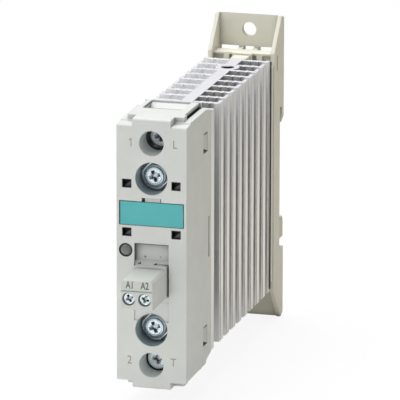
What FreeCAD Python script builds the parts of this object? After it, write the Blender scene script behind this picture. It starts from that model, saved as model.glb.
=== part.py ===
import FreeCAD, Part
import math
import os
import re

import Sketcher

# Solid state relay on a finned heat sink, with a foot for a 35 mm mounting rail.
# Millimetres.  +Z up, +Y from the front towards the rail, X across the width.
# Y = 0 is the face that seats on the rail and Z = 0 is the rail's centre line.
# Depths are counted back from the relay's front face, heights from the relay's middle.

doc = FreeCAD.newDocument("solid_state_relay")
sheet = doc.addObject("Spreadsheet::Sheet", "dims")

SIZES = {
    # relay housing
    "width": 22.5,
    "seat_depth": 114.1,
    "mid_drop": 0.75,
    "crown_half": 43.1,
    "crown_proud": 1.5,
    "lip_step": 0.6,
    "crown_width": 18.2,
    "crown_back": 26.0,
    "lug_width": 12.3,
    "facet_depth": 4.5,
    "corner_bevel": 0.5,
    "slope_depth": 23.5,
    "slope_drop": 1.3,
    "foot_lip": 1.7,
    "foot_step": 0.55,
    "foot_rise": 0.95,
    "housing_depth": 29.0,
    "wall": 1.3,
    "front_wall": 1.6,
    "slit_width": 0.8,
    "slit_front": 8.3,
    "slit_back": 25.0,
    "slit_deep": 2.5,
    "side_groove_front": 25.5,
    "side_groove_width": 1.9,
    "side_groove_half": 6.5,
    "side_groove_deep": 0.5,
    "window_from_back": 9.2,
    "window_long": 4.9,
    "window_height": 6.3,
    "window_in": 4.3,
    # wells, bosses and posts inside the housing
    "terminal_from_lip": 5.6,
    "terminal_well_dia": 8.0,
    "well_wall": 1.0,
    "terminal_tube_end": 9.5,
    "fixing_share": 0.6836,
    "fixing_well_dia": 10.4,
    "fixing_ledge": 1.4,
    "boss_dia": 7.0,
    "screw_gap": 0.3,
    "partition_in": 5.3,
    "partition_thick": 1.0,
    "partition_gap": 0.5,
    "post_dia": 3.0,
    "post_x": 8.2,
    "post_z": 14.6,
    # front face
    "square_x": 7.9,
    "square_upper": 22.3,
    "square_lower": 6.85,
    "square_wide": 2.9,
    "square_high": 2.65,
    "square_deep": 3.0,
    "label_low": 9.25,
    "label_high": 16.6,
    "label_half": 10.2,
    "label_pocket": 1.2,
    "label_proud": 0.15,
    "label_gap": 0.12,
    "pry_half": 3.05,
    "pry_high": 1.3,
    "recess_half": 5.45,
    "recess_top": 3.4,
    "recess_deep": 2.0,
    "ramp_start": -2.2,
    "ramp_end": -3.0,
    "recess_back": 1.3,
    "socket_hole_half": 5.6,
    "socket_hole_low": -15.2,
    "relief_low": -21.3,
    "relief_deep": 0.4,
    "lens_x": -8.25,
    "lens_z": 1.05,
    "lens_dia": 4.2,
    "lens_gap": 0.1,
    "lens_proud": 0.35,
    "lens_flat_dia": 2.8,
    "lens_head": 2.4,
    "pipe_dia": 3.0,
    # wire entry
    "entry_front": 14.5,
    "entry_back": 25.0,
    "entry_wide": 12.6,
    "entry_shift": -0.6,
    "entry_ramp": 5.6,
    "entry_ramp_drop": 0.6,
    # main terminals
    "head_dia": 7.0,
    "head_high": 2.8,
    "head_slot": 1.0,
    "head_slot_deep": 1.4,
    "top_head_at": 10.2,
    "bottom_head_at": 7.6,
    "closed_head_at": 11.3,
    "lock_dia": 6.4,
    "lock_high": 1.3,
    "thread_dia": 3.9,
    "thread_end_gap": 0.9,
    "thread_gap": 0.05,
    "clamp_wide": 9.2,
    "clamp_high": 7.4,
    "clamp_thick": 2.0,
    "clamp_lip": 0.8,
    "clamp_gap": 0.1,
    "busbar_thick": 1.5,
    "busbar_wide": 10.0,
    "busbar_over": 2.6,
    "busbar_leg_in": 5.7,
    "busbar_leg_thick": 1.2,
    "foot_wide": 13.0,
    "foot_end": 10.5,
    "boss_gap": 0.4,
    # snap frame
    "frame_from_back": 10.0,
    "frame_gap": 0.1,
    "frame_end_gap": 0.3,
    "frame_thick": 1.2,
    "ledge_half": 3.4,
    "ledge_gap": 0.1,
    "frame_floor": 1.3,
    "catch_gap": 0.35,
    "catch_proud": 0.15,
    "catch_slope": 1.4,
    "catch_lean": 0.3,
    # power stage
    "carrier_thick": 2.5,
    "carrier_gap": 0.2,
    "pad_thick": 0.6,
    "pad_margin": 0.4,
    "pad_end_gap": 2.0,
    "substrate_thick": 0.6,
    "substrate_half": 7.5,
    "substrate_high": 28.0,
    "chip_side": 7.0,
    "chip_thick": 0.4,
    "chip_at": 5.0,
    # control board
    "board_front": 12.0,
    "board_thick": 1.6,
    "board_half": 9.6,
    "board_half_high": 16.5,
    "led_dia": 3.0,
    "led_long": 2.4,
    "opto_wide": 6.4,
    "opto_high": 4.6,
    "opto_deep": 3.2,
    "opto_z": -1.0,
    "capacitor_wide": 7.0,
    "capacitor_high": 8.0,
    "capacitor_deep": 6.4,
    "capacitor_x": -4.5,
    "capacitor_z": 9.0,
    "varistor_gap": 0.9,
    "varistor_thick": 4.0,
    "varistor_x": 3.5,
    "varistor_z": 9.5,
    "resistor_dia": 2.3,
    "resistor_long": 6.0,
    "resistor_z": -12.2,
    "resistor_pitch": 7.6,
    "gate_pin_dia": 0.8,
    "gate_pin_x": 6.4,
    "gate_pin_z": -5.5,
    "gate_pin_pitch": 3.5,
    # control plug and its socket
    "plug_half": 5.1,
    "plug_front": 16.5,
    "plug_top": -4.0,
    "plug_bottom": -13.2,
    "plug_bevel": 0.8,
    "flange_front": 2.0,
    "flange_back": 1.8,
    "flange_step": 0.7,
    "nose_back": 8.6,
    "nose_inset": 0.2,
    "plug_groove_z": -7.4,
    "plug_groove": 0.3,
    "pole_x": 2.54,
    "pole_z": -8.6,
    "plug_screw_z": -9.95,
    "plug_head_dia": 3.9,
    "plug_head_high": 1.6,
    "plug_head_inset": 0.8,
    "plug_well_gap": 0.15,
    "plug_floor": 0.8,
    "plug_thread_dia": 2.4,
    "plug_slot": 0.6,
    "plug_slot_deep": 0.8,
    "cage_wide": 3.6,
    "cage_low": -12.4,
    "cage_high": -7.3,
    "cage_wall": 0.5,
    "cage_plate": 0.8,
    "cage_window": 4.2,
    "cage_travel": 1.6,
    "cage_gap": 0.2,
    "bar_wide": 2.0,
    "bar_thick": 0.8,
    "bar_gap": 0.6,
    "link_high": 0.8,
    "link_top": -5.6,
    "tulip_back": 4.0,
    "tulip_long": 5.0,
    "tulip_side": 2.2,
    "pin_side": 1.0,
    "pin_gap": 0.15,
    "pin_tip": 0.6,
    "wire_hole_long": 3.0,
    "shroud_wall": 0.5,
    "shroud_gap": 0.3,
    "shroud_front": 3.6,
    "shroud_floor": 2.6,
    # fixing screws
    "fixing_head_at": 3.3,
    "fixing_head_dia": 8.0,
    "fixing_head_high": 3.0,
    "fixing_dia": 4.0,
    "washer_dia": 9.6,
    "washer_thick": 0.8,
    "washer_flat": 8.2,
    "fixing_engage": 3.9,
    # heat sink
    "sink_high": 77.7,
    "sink_base_half": 11.0,
    "sink_base_thick": 4.2,
    "web_thick": 4.0,
    "web_to_seat": 11.3,
    "fin_room": 11.1,
    "last_fin_in": 3.02,
    "fin_count": 9,
    "fin_thick": 1.6,
    "fin_half": 10.9,
    "tip_long": 4.6,
    "tip_thick": 1.3,
    "tip_groove_at": 0.6,
    "tip_groove_wide": 1.0,
    "tip_groove_deep": 0.6,
    "rib_first": 4.7,
    "rib_pitch": 2.7,
    "rib_wide": 0.5,
    "rib_high": 0.6,
    "duct_in": 13.1,
    "duct_dia": 4.2,
    "duct_boss_dia": 7.8,
    "sink_pad_half": 2.65,
    "sink_pad_thick": 2.3,
    "last_tip_gap": 0.5,
    # rail bracket
    "tongue_half": 10.9,
    "tongue_high": 72.6,
    "tongue_gap": 0.7,
    "tongue_seat_half": 2.65,
    "bracket_deep": 7.6,
    "bracket_high": 80.4,
    "rail_grip": 4.8,
    "wing_end": 50.8,
    "wing_bevel": 0.9,
    "wing_plate": 2.4,
    "cheek_thick": 1.4,
    "cheek_tip_in": 3.9,
    "cheek_tip_low": 0.9,
    "shelf_top": 39.5,
    "shelf_thick": 0.9,
    "shelf_front": 2.1,
    "shelf_back": 6.9,
    "shelf_bulge": 1.2,
    "bulge_half": 3.3,
    "panel_in": 3.0,
    "panel_low": 36.4,
    "window_low": 37.65,
    "window_top": 39.9,
    "window_left": 6.4,
    "window_centre": 3.4,
    "window_rib": 1.7,
    "wing_hole_dia": 4.8,
    "wing_hole_at": 45.5,
    "nub_side": 2.1,
    "nub_x": 5.5,
    "recess_upper": 15.35,
    "recess_lower": 16.65,
    "hook_slot": 1.4,
    "seat_relief": 0.1,
    "hook_slot_top": 20.45,
    "hook_bevel": 1.4,
    "hollow_wall": 1.6,
    "hollow_floor": 3.0,
    "hollow_low": 22.6,
    "hollow_top": 36.2,
    "side_slit": 0.8,
    "side_slit_deep": 0.7,
    "slit_a_from_front": 3.7,
    "slit_a_low": 33.7,
    "slit_a_high": 38.8,
    "slit_b_at": 1.3,
    "slit_b_low": 17.7,
    "bracket_screw_at": 12.0,
    "bracket_screw_dia": 2.9,
    "bracket_head_dia": 5.6,
    "bracket_head_high": 2.0,
    "bracket_head_sunk": 1.2,
    "bracket_screw_hold": 7.8,
    # rail latch and its spring
    "latch_lip": 16.8,
    "latch_notch": 17.65,
    "latch_play": 0.15,
    "latch_nose_low": 24.0,
    "latch_travel": 3.0,
    "latch_bevel": 1.3,
    "latch_side_gap": 0.15,
    "latch_rear_gap": 0.1,
    "latch_arm_half": 4.2,
    "latch_arm_front": 1.4,
    "latch_arm_low": 40.2,
    "latch_eye_low": 38.6,
    "latch_eye_high": 2.6,
    "latch_eye_half": 1.8,
    "latch_guide_gap": 0.3,
    "spring_dia": 4.0,
    "spring_wire": 0.5,
    "spring_long": 11.6,
    "spring_gap": 0.3,
    "heel_thick": 2.0,
}

# Sizes that follow from others through a clearance, in the order they are worked out.
FOLLOWING = {
    "shoulder_half": "crown_half - crown_proud",
    "lip_half": "shoulder_half - lip_step",
    "slit_floor": "crown_half - slit_deep",
    "terminal_at": "lip_half - terminal_from_lip",
    "fixing_at": "terminal_at * fixing_share",
    "partition_at": "terminal_at - partition_in",
    "window_mid": "terminal_at - window_in",
    "window_front": "housing_depth - window_from_back",
    "frame_front": "housing_depth - frame_from_back",
    "busbar_front": "closed_head_at + head_high + lock_high + clamp_thick + clamp_gap",
    "partition_end": "busbar_front - partition_gap",
    "busbar_end": "terminal_at + busbar_over",
    "busbar_leg_at": "terminal_at - busbar_leg_in",
    "ledge_low": "busbar_leg_at + busbar_leg_thick + ledge_gap",
    "carrier_front": "housing_depth - pad_thick - carrier_thick",
    "thread_long": "carrier_front - frame_floor - thread_end_gap - closed_head_at - head_high",
    "varistor_dia": "carrier_front - substrate_thick - busbar_leg_thick - varistor_gap"
                    " - board_front - board_thick",
    "web_end": "seat_depth - web_to_seat",
    "bracket_front": "seat_depth - bracket_deep",
    "tongue_front": "web_end + tongue_gap",
    "duct_at": "web_end - duct_in",
    "bracket_screw_end": "web_end - bracket_screw_hold",
    "fin_first": "housing_depth + fin_room",
    "fin_pitch": "(web_end - last_fin_in - fin_first) / (fin_count - 1)",
}

rows = list(SIZES.items()) + [(alias, "=" + formula) for alias, formula in FOLLOWING.items()]
for row, (alias, value) in enumerate(rows, start=1):
    sheet.set("A%d" % row, alias)
    sheet.set("B%d" % row, str(value))
    sheet.setAlias("B%d" % row, alias)
doc.recompute()

nodes = {}


# ---------------------------------------------------------------- helpers

def link(text):
    """Turn a formula of plain size names into one that reads the sheet."""
    return re.sub(r"[a-z_]+[a-z_0-9]*", lambda word: "dims." + word.group(), str(text))


def depth(text):
    """Y of a depth behind the relay's front face."""
    return "(%s) - seat_depth" % text


def height(text):
    """Z of a height above the relay's middle."""
    return "(%s) - mid_drop" % text


def bind(thing, **formulas):
    for name, formula in formulas.items():
        thing.setExpression(name.replace("__", "."), link(formula))


def keep(label, thing):
    """Register a finished piece under its own name."""
    thing.Label = label
    nodes[label] = thing
    return thing


def rect(a_low, a_high, b_low, b_high):
    return [(a_low, b_low), (a_high, b_low), (a_high, b_high), (a_low, b_high)]


def across(half, b_low, b_high):
    return rect("-(%s)" % half, half, b_low, b_high)


def disc(a, b, dia):
    return ("disc", a, b, dia)


def draw(sketch, loop):
    """Draw one closed loop and tie each of its points to the sheet."""
    first = sketch.GeometryCount
    if loop[0] == "disc":
        sketch.addGeometry(Part.Circle(FreeCAD.Vector(1, 1, 0), FreeCAD.Vector(0, 0, 1), 1))
        ties = [("DistanceX", (-1, 1, first, 3), loop[1]), ("DistanceY", (-1, 1, first, 3), loop[2]),
                ("Diameter", (first,), loop[3])]
    else:
        count = len(loop)
        turn = [2 * math.pi * i / count for i in range(count + 1)]
        ring = [FreeCAD.Vector(20 * math.cos(a), 20 * math.sin(a), 0) for a in turn]
        for i in range(count):
            sketch.addGeometry(Part.LineSegment(ring[i], ring[i + 1]))
        for i in range(count):
            after = first + (i + 1) % count
            sketch.addConstraint(Sketcher.Constraint("Coincident", first + i, 2, after, 1))
        ties = []
        for i, (a, b) in enumerate(loop):
            ties.append(("DistanceX", (-1, 1, first + i, 1), a))
            ties.append(("DistanceY", (-1, 1, first + i, 1), b))
    for kind, where, formula in ties:
        index = sketch.addConstraint(Sketcher.Constraint(kind, *where, 1.0))
        sketch.setExpression("Constraints[%d]" % index, link(formula))


def prism(body, axis, low, high, *loops, cut=False):
    """Pad or pocket of loops, drawn across the axis, from low to high along it."""
    plane_role = {"X": "YZ_Plane", "Y": "XZ_Plane", "Z": "XY_Plane"}[axis]
    plane = [p for p in body.Origin.OriginFeatures if p.Role == plane_role][0]
    sketch = body.newObject("Sketcher::SketchObject", "outline")
    sketch.AttachmentSupport = [(plane, "")]
    sketch.MapMode = "FlatFace"
    sign = -1 if axis == "Y" else 1
    bind(sketch, AttachmentOffset__Base__z="%d * (%s)" % (sign, low))
    for loop in loops:
        draw(sketch, loop)
    feature = body.newObject("PartDesign::Pocket" if cut else "PartDesign::Pad", "prism")
    feature.Profile = sketch
    feature.Reversed = (sign < 0) != cut
    bind(feature, Length="(%s) - (%s)" % (high, low))
    return feature


def new_body(label):
    return keep(label, doc.addObject("PartDesign::Body", label))


def box(x, y, z, name="block"):
    """Part::Box between two formulas on each axis."""
    block = doc.addObject("Part::Box", name)
    bind(block, Length="(%s) - (%s)" % (x[1], x[0]), Width="(%s) - (%s)" % (y[1], y[0]),
         Height="(%s) - (%s)" % (z[1], z[0]), Placement__Base__x=x[0], Placement__Base__y=y[0],
         Placement__Base__z=z[0])
    return block


TURNS = {"X": (FreeCAD.Vector(0, 1, 0), 90), "Y": (FreeCAD.Vector(1, 0, 0), -90),
         "Z": (FreeCAD.Vector(0, 0, 1), 0)}


def rod(axis, start, long, dia, dia_end=None):
    """Cylinder, or cone when dia_end is given, along an axis from its start point."""
    rod_kind = "Part::Cylinder" if dia_end is None else "Part::Cone"
    bar = doc.addObject(rod_kind, "rod")
    bar.Placement = FreeCAD.Placement(FreeCAD.Vector(), FreeCAD.Rotation(*TURNS[axis]))
    bind(bar, Height=long, Placement__Base__x=start[0], Placement__Base__y=start[1],
         Placement__Base__z=start[2])
    if dia_end is None:
        bind(bar, Radius="(%s) / 2" % dia)
    else:
        bind(bar, Radius1="(%s) / 2" % dia, Radius2="(%s) / 2" % dia_end)
    return bar


def fuse(*parts):
    joined = doc.addObject("Part::MultiFuse", "joined")
    joined.Shapes = list(parts)
    joined.Refine = True
    return joined


def cut(base, *tools):
    tool = tools[0] if len(tools) == 1 else fuse(*tools)
    rest = doc.addObject("Part::Cut", "rest")
    rest.Base = base
    rest.Tool = tool
    return rest


def group(label, *parts):
    together = doc.addObject("Part::Compound", label)
    together.Links = list(parts)
    return keep(label, together)


def span(middle, size):
    """Low and high formulas of a size centred on a middle."""
    return ("(%s) - (%s) / 2" % (middle, size), "(%s) + (%s) / 2" % (middle, size))


HALF = "width / 2"
INNER_HALF = "width / 2 - wall"
INNER_END = "lip_half - wall"
LEDGE = "fixing_head_at + fixing_head_high + washer_thick"
CARRIER_BACK = "housing_depth - pad_thick"
CARRIER_FRONT = "carrier_front"
SUBSTRATE_FRONT = "carrier_front - substrate_thick"
BUSBAR_FRONT = "busbar_front"
BOARD_BACK = "board_front + board_thick"
ENDS = (1, -1)


# ---------------------------------------------------------------- front housing

def side_outline():
    """Side view of the housing: lip at the front, shoulder behind it, sloping to the back.

    The lower shoulder is stepped back and ends where the sloping stretch begins.
    """
    upper = [("0", "lip_half - corner_bevel"), ("corner_bevel", "lip_half"),
             ("facet_depth", "lip_half"), ("facet_depth + corner_bevel", "shoulder_half"),
             ("slope_depth", "shoulder_half"), ("housing_depth", "shoulder_half - slope_drop")]
    lower = [("0", "lip_half - corner_bevel"), ("corner_bevel", "lip_half"), ("foot_lip", "lip_half"),
             ("foot_lip", "lip_half - foot_step"), ("slope_depth", "lip_half - foot_step"),
             ("slope_depth", "lip_half - foot_step - foot_rise"),
             ("housing_depth", "lip_half - foot_step - foot_rise - slope_drop")]
    lower = [(a, "-(%s)" % b) for a, b in reversed(lower)]
    return [(depth(a), height(b)) for a, b in upper + lower]


def make_front_housing():
    body = new_body("front_housing")
    prism(body, "X", "-(%s)" % HALF, HALF, side_outline())
    for end in ENDS:
        crown = [("facet_depth + corner_bevel", "shoulder_half - wall"), ("facet_depth + corner_bevel",
                 "crown_half"), ("crown_back - corner_bevel", "crown_half"),
                 ("crown_back", "shoulder_half - wall")]
        prism(body, "X", "-crown_width / 2", "crown_width / 2",
              [(depth(a), height("%d * (%s)" % (end, b))) for a, b in crown])
        lug = [("0", "lip_half - wall"), ("0", "crown_half - corner_bevel"),
               ("corner_bevel", "crown_half"), ("facet_depth + wall", "crown_half"),
               ("facet_depth + wall", "lip_half - wall")]
        prism(body, "X", "-lug_width / 2", "lug_width / 2",
              [(depth(a), height("%d * (%s)" % (end, b))) for a, b in lug])
    prism(body, "Y", depth("front_wall"), depth("housing_depth"),
          across(INNER_HALF, height("-(%s)" % INNER_END), height(INNER_END)), cut=True)
    window = [rect(depth("window_front"), depth("window_front + window_long"),
                   *[height("%d * window_mid %s window_height / 2" % (end, side)) for side in "-+"])
              for end in ENDS]
    prism(body, "X", "-(%s)" % HALF, HALF, *window, cut=True)
    add_inner_walls(body)
    cut_front_face(body)
    cut_wire_entries(body)
    for side in ("-", ""):
        groove = rect("%s(%s - side_groove_deep)" % (side, HALF), "%s(%s)" % (side, HALF),
                      depth("side_groove_front"), depth("side_groove_front + side_groove_width"))
        prism(body, "Z", height("-side_groove_half"), height("side_groove_half"), groove, cut=True)
    return body


def add_inner_walls(body):
    """Screw tubes, bosses down to the carrier, partitions and board posts."""
    tubes = [disc("0", height("%d * terminal_at" % end), "terminal_well_dia + 2 * well_wall")
             for end in ENDS]
    prism(body, "Y", depth("front_wall / 2"), depth("terminal_tube_end"), *tubes)
    collars = [disc("0", height("%d * fixing_at" % end), "fixing_well_dia + 2 * well_wall")
               for end in ENDS]
    prism(body, "Y", depth("front_wall / 2"), depth(LEDGE + " + fixing_ledge"), *collars)
    bosses = [disc("0", height("%d * fixing_at" % end), "boss_dia") for end in ENDS]
    prism(body, "Y", depth(LEDGE), depth(CARRIER_FRONT), *bosses)
    partition_half = INNER_HALF + " - frame_gap - frame_thick - ledge_gap"
    partitions = [across(partition_half, *[height("%d * partition_at %s partition_thick / 2"
                  % (end, side)) for side in "-+"]) for end in ENDS]
    prism(body, "Y", depth("front_wall / 2"), depth("partition_end"), *partitions)
    posts = [disc("%d * post_x" % side, height("%d * post_z" % end), "post_dia")
             for side in ENDS for end in ENDS]
    prism(body, "Y", depth("front_wall / 2"), depth("board_front"), *posts)
    backing = across("socket_hole_half + well_wall", height("socket_hole_low - well_wall"),
                     height("recess_top + well_wall"))
    prism(body, "Y", depth("front_wall / 2"), depth("recess_deep + recess_back"), backing)
    cups = [rect(*span("%d * square_x" % side, "square_wide + 2 * well_wall"),
                 *span(height(square), "square_high + 2 * well_wall"))
            for side in ENDS for square in ("square_upper", "square_lower")]
    prism(body, "Y", depth("front_wall / 2"), depth("square_deep + well_wall"), *cups)


def cut_front_face(body):
    """Wells, label pocket, control recess, socket opening, lens hole and square pockets."""
    wells = [disc("0", height("%d * terminal_at" % end), "terminal_well_dia") for end in ENDS]
    prism(body, "Y", depth("0"), depth("terminal_tube_end"), *wells, cut=True)
    collars = [disc("0", height("%d * fixing_at" % end), "fixing_well_dia") for end in ENDS]
    prism(body, "Y", depth("0"), depth(LEDGE), *collars, cut=True)
    bores = [disc("0", height("%d * fixing_at" % end), "fixing_dia + 2 * screw_gap") for end in ENDS]
    prism(body, "Y", depth(LEDGE + " - well_wall"), depth(CARRIER_FRONT), *bores, cut=True)
    prism(body, "Y", depth("0"), depth("label_pocket"),
          across("label_half + label_gap", height("label_low - label_gap"),
                 height("label_high + label_gap")), cut=True)
    prism(body, "Y", depth("0"), depth("label_pocket"),
          across("pry_half", height("label_high"), height("label_high + pry_high")), cut=True)
    recess = [("0", "recess_top"), ("recess_deep", "recess_top"), ("recess_deep", "ramp_start"),
              ("recess_deep / 2", "ramp_end"), ("recess_deep / 2", "socket_hole_low"),
              ("0", "socket_hole_low")]
    prism(body, "X", "-recess_half", "recess_half", [(depth(a), height(b)) for a, b in recess],
          cut=True)
    prism(body, "Y", depth("0"), depth("recess_deep + recess_back"),
          across("socket_hole_half", height("socket_hole_low"), height("ramp_end")), cut=True)
    prism(body, "Y", depth("0"), depth("relief_deep"),
          across("recess_half", height("relief_low"), height("socket_hole_low")), cut=True)
    prism(body, "Y", depth("0"), depth("recess_deep + recess_back"),
          disc("lens_x", height("lens_z"), "lens_dia + 2 * lens_gap"), cut=True)
    squares = [rect(*span("%d * square_x" % side, "square_wide"), *span(height(square), "square_high"))
               for side in ENDS for square in ("square_upper", "square_lower")]
    prism(body, "Y", depth("0"), depth("square_deep"), *squares, cut=True)


def cut_wire_entries(body):
    """Wire openings in both ends, each with a ramp that leads the wire to the clamp."""
    for end in ENDS:
        opening = rect(*span("entry_shift", "entry_wide"), depth("entry_front"), depth("entry_back"))
        lower = "%s - wall" % INNER_END if end > 0 else "-crown_half"
        upper = "crown_half" if end > 0 else "-(%s - wall)" % INNER_END
        prism(body, "Z", height(lower), height(upper), opening, cut=True)
        ramp = [("entry_back + wall / 2", INNER_END), ("entry_back + wall / 2",
                "crown_half - entry_ramp_drop"), ("entry_back", "crown_half - entry_ramp_drop"),
                ("entry_back - entry_ramp", INNER_END)]
        prism(body, "X", *span("entry_shift", "entry_wide + wall"),
              [(depth(a), height("%d * (%s)" % (end, b))) for a, b in ramp])
        for side in ENDS:
            slit = rect(*span("%d * (crown_width - slit_width) / 2" % side, "slit_width"),
                        depth("slit_front"), depth("slit_back"))
            lower = "slit_floor" if end > 0 else "-crown_half"
            upper = "crown_half" if end > 0 else "-slit_floor"
            prism(body, "Z", height(lower), height(upper), slit, cut=True)


# ---------------------------------------------------------------- snap frame

def make_rear_frame():
    """Ring inside the housing: snaps into its side windows and carries the terminal bars."""
    body = new_body("rear_frame")
    outer = INNER_HALF + " - frame_gap"
    end_half = INNER_END + " - frame_end_gap"
    prism(body, "Y", depth("frame_front"), depth(CARRIER_FRONT),
          across(outer, height("-(%s)" % end_half), height(end_half)),
          across(outer + " - frame_thick", height("-(%s - frame_thick)" % end_half),
                 height(end_half + " - frame_thick")))
    for end in ENDS:
        ledge_high = end_half + " - frame_thick / 2"
        low, high = ["%d * (%s)" % (end, level) for level in ("ledge_low", ledge_high)]
        if end < 0:
            low, high = high, low
        ledge = [rect("ledge_half", outer + " - frame_thick / 2", height(low), height(high)),
                 rect("-(%s - frame_thick / 2)" % outer, "-ledge_half", height(low), height(high))]
        prism(body, "Y", depth(BUSBAR_FRONT + " + busbar_thick"), depth(CARRIER_FRONT), *ledge)
        prism(body, "Y", depth(CARRIER_FRONT + " - frame_floor"), depth(CARRIER_FRONT),
              across(outer + " - frame_thick / 2", height(low), height(high)))
        catch = [("window_front + catch_gap", "window_height / 2 - catch_gap / 2"),
                 ("window_front + window_long - catch_gap", "window_height / 2 - catch_gap - catch_lean"),
                 ("window_front + window_long - catch_gap", "-(window_height / 2 - catch_gap)"),
                 ("window_front + catch_gap", "-(window_height / 2 - catch_gap - catch_slope)")]
        outline = [(depth(a), height("%d * window_mid + (%s)" % (end, b))) for a, b in catch]
        prism(body, "X", outer + " - frame_thick / 2", HALF + " - catch_proud", outline)
        prism(body, "X", "-(%s - catch_proud)" % HALF, "-(%s - frame_thick / 2)" % outer, outline)
    return body


# ---------------------------------------------------------------- front pieces

def make_front_pieces():
    plate = box(("-label_half", "label_half"), (depth("-label_proud"), depth("label_pocket")),
                (height("label_low"), height("label_high")))
    keep("label_plate", plate)
    lens_place = ("lens_x", depth("0"), height("lens_z"))
    head = rod("Y", lens_place, "lens_head", "lens_dia")
    dome = rod("Y", ("lens_x", depth("-lens_proud"), height("lens_z")), "lens_proud", "lens_flat_dia",
               "lens_dia")
    pipe = rod("Y", lens_place, "board_front - led_long", "pipe_dia")
    keep("led_lens", fuse(head, dome, pipe))
    light = rod("Y", ("lens_x", depth("board_front - led_long"), height("lens_z")), "led_long",
                "led_dia")
    keep("led", light)


# ---------------------------------------------------------------- main terminals

def cross_slot(centre, front, wide, deep, long):
    """Two crossed slots in a screw head whose front face is at the given Y."""
    across_x = box(span(centre[0], long), (front, "(%s) + (%s)" % (front, deep)), span(centre[1], wide))
    across_z = box(span(centre[0], wide), (front, "(%s) + (%s)" % (front, deep)), span(centre[1], long))
    return fuse(across_x, across_z)


def make_terminal(number, end, head_at):
    """Screw, saddle washer and bar of one main terminal."""
    axis_z = height("%d * terminal_at" % end)
    neck = "%s + head_high" % head_at
    head = rod("Y", ("0", depth(head_at), axis_z), "head_high", "head_dia")
    lock = rod("Y", ("0", depth(neck), axis_z), "lock_high", "lock_dia")
    shank = rod("Y", ("0", depth(neck), axis_z), "thread_long", "thread_dia")
    slots = cross_slot(("0", axis_z), depth(head_at), "head_slot", "head_slot_deep", "head_dia * 0.7")
    keep("terminal_screw_%s" % number, cut(fuse(head, lock, shank), slots))

    clamp_front = "%s + lock_high" % neck
    plate = box(span("0", "clamp_wide"), (depth(clamp_front), depth(clamp_front + " + clamp_thick")),
                span(axis_z, "clamp_high"))
    groove = box(span("0", "clamp_wide - 2 * clamp_lip"),
                 (depth(clamp_front + " + clamp_thick - clamp_lip"),
                  depth(clamp_front + " + clamp_thick")), span(axis_z, "clamp_high"))
    hole = rod("Y", ("0", depth(clamp_front), axis_z), "clamp_thick", "thread_dia + 2 * thread_gap")
    keep("terminal_clamp_%s" % number, cut(plate, groove, hole))

    def level(low, high):
        """Z pair of a span on this end of the relay."""
        pair = (height("%d * (%s)" % (end, low)), height("%d * (%s)" % (end, high)))
        return pair if end > 0 else pair[::-1]

    leg_top = "busbar_leg_at + busbar_leg_thick"
    top = box(span("0", "busbar_wide"), (depth(BUSBAR_FRONT), depth(BUSBAR_FRONT + " + busbar_thick")),
              level("busbar_leg_at", "busbar_end"))
    leg = box(span("0", "busbar_wide"), (depth(BUSBAR_FRONT), depth(SUBSTRATE_FRONT)),
              level("busbar_leg_at", leg_top))
    foot = box(span("0", "foot_wide"), (depth(SUBSTRATE_FRONT + " - busbar_leg_thick"),
               depth(SUBSTRATE_FRONT)), level("foot_end", leg_top))
    screw_hole = rod("Y", ("0", depth(BUSBAR_FRONT), axis_z), "busbar_thick",
                     "thread_dia + 2 * thread_gap")
    boss_hole = rod("Y", ("0", depth(SUBSTRATE_FRONT + " - busbar_leg_thick"),
                    height("%d * fixing_at" % end)), "busbar_leg_thick", "boss_dia + 2 * boss_gap")
    keep("terminal_busbar_%s" % number, cut(fuse(top, leg, foot), screw_hole, boss_hole))


# ---------------------------------------------------------------- power stage

def make_power_stage():
    bores = [rod("Y", ("0", depth(CARRIER_FRONT), height("%d * fixing_at" % end)),
                 "carrier_thick + pad_thick", "fixing_dia + 2 * screw_gap") for end in ENDS]
    carrier_half = INNER_HALF + " - carrier_gap"
    carrier_end = INNER_END + " - frame_end_gap"
    plate = box(("-(%s)" % carrier_half, carrier_half), (depth(CARRIER_FRONT), depth(CARRIER_BACK)),
                (height("-(%s)" % carrier_end), height(carrier_end)))
    keep("base_plate", cut(plate, *bores))
    pad_half = carrier_half + " - pad_margin"
    pad_end = INNER_END + " - pad_end_gap"
    sheet_pad = box(("-(%s)" % pad_half, pad_half), (depth(CARRIER_BACK), depth("housing_depth")),
                    (height("-(%s)" % pad_end), height(pad_end)))
    pad_bores = [rod("Y", ("0", depth(CARRIER_BACK), height("%d * fixing_at" % end)), "pad_thick",
                     "fixing_dia + 2 * screw_gap") for end in ENDS]
    keep("thermal_pad", cut(sheet_pad, *pad_bores))
    keep("power_substrate", box(("-substrate_half", "substrate_half"),
                                (depth(SUBSTRATE_FRONT), depth(CARRIER_FRONT)),
                                span(height("0"), "substrate_high")))
    chips = [box(span("0", "chip_side"), (depth(SUBSTRATE_FRONT + " - chip_thick"),
             depth(SUBSTRATE_FRONT)), span(height("%d * chip_at" % end), "chip_side"))
             for end in ENDS]
    group("power_thyristors", *chips)


# ---------------------------------------------------------------- control board

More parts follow.
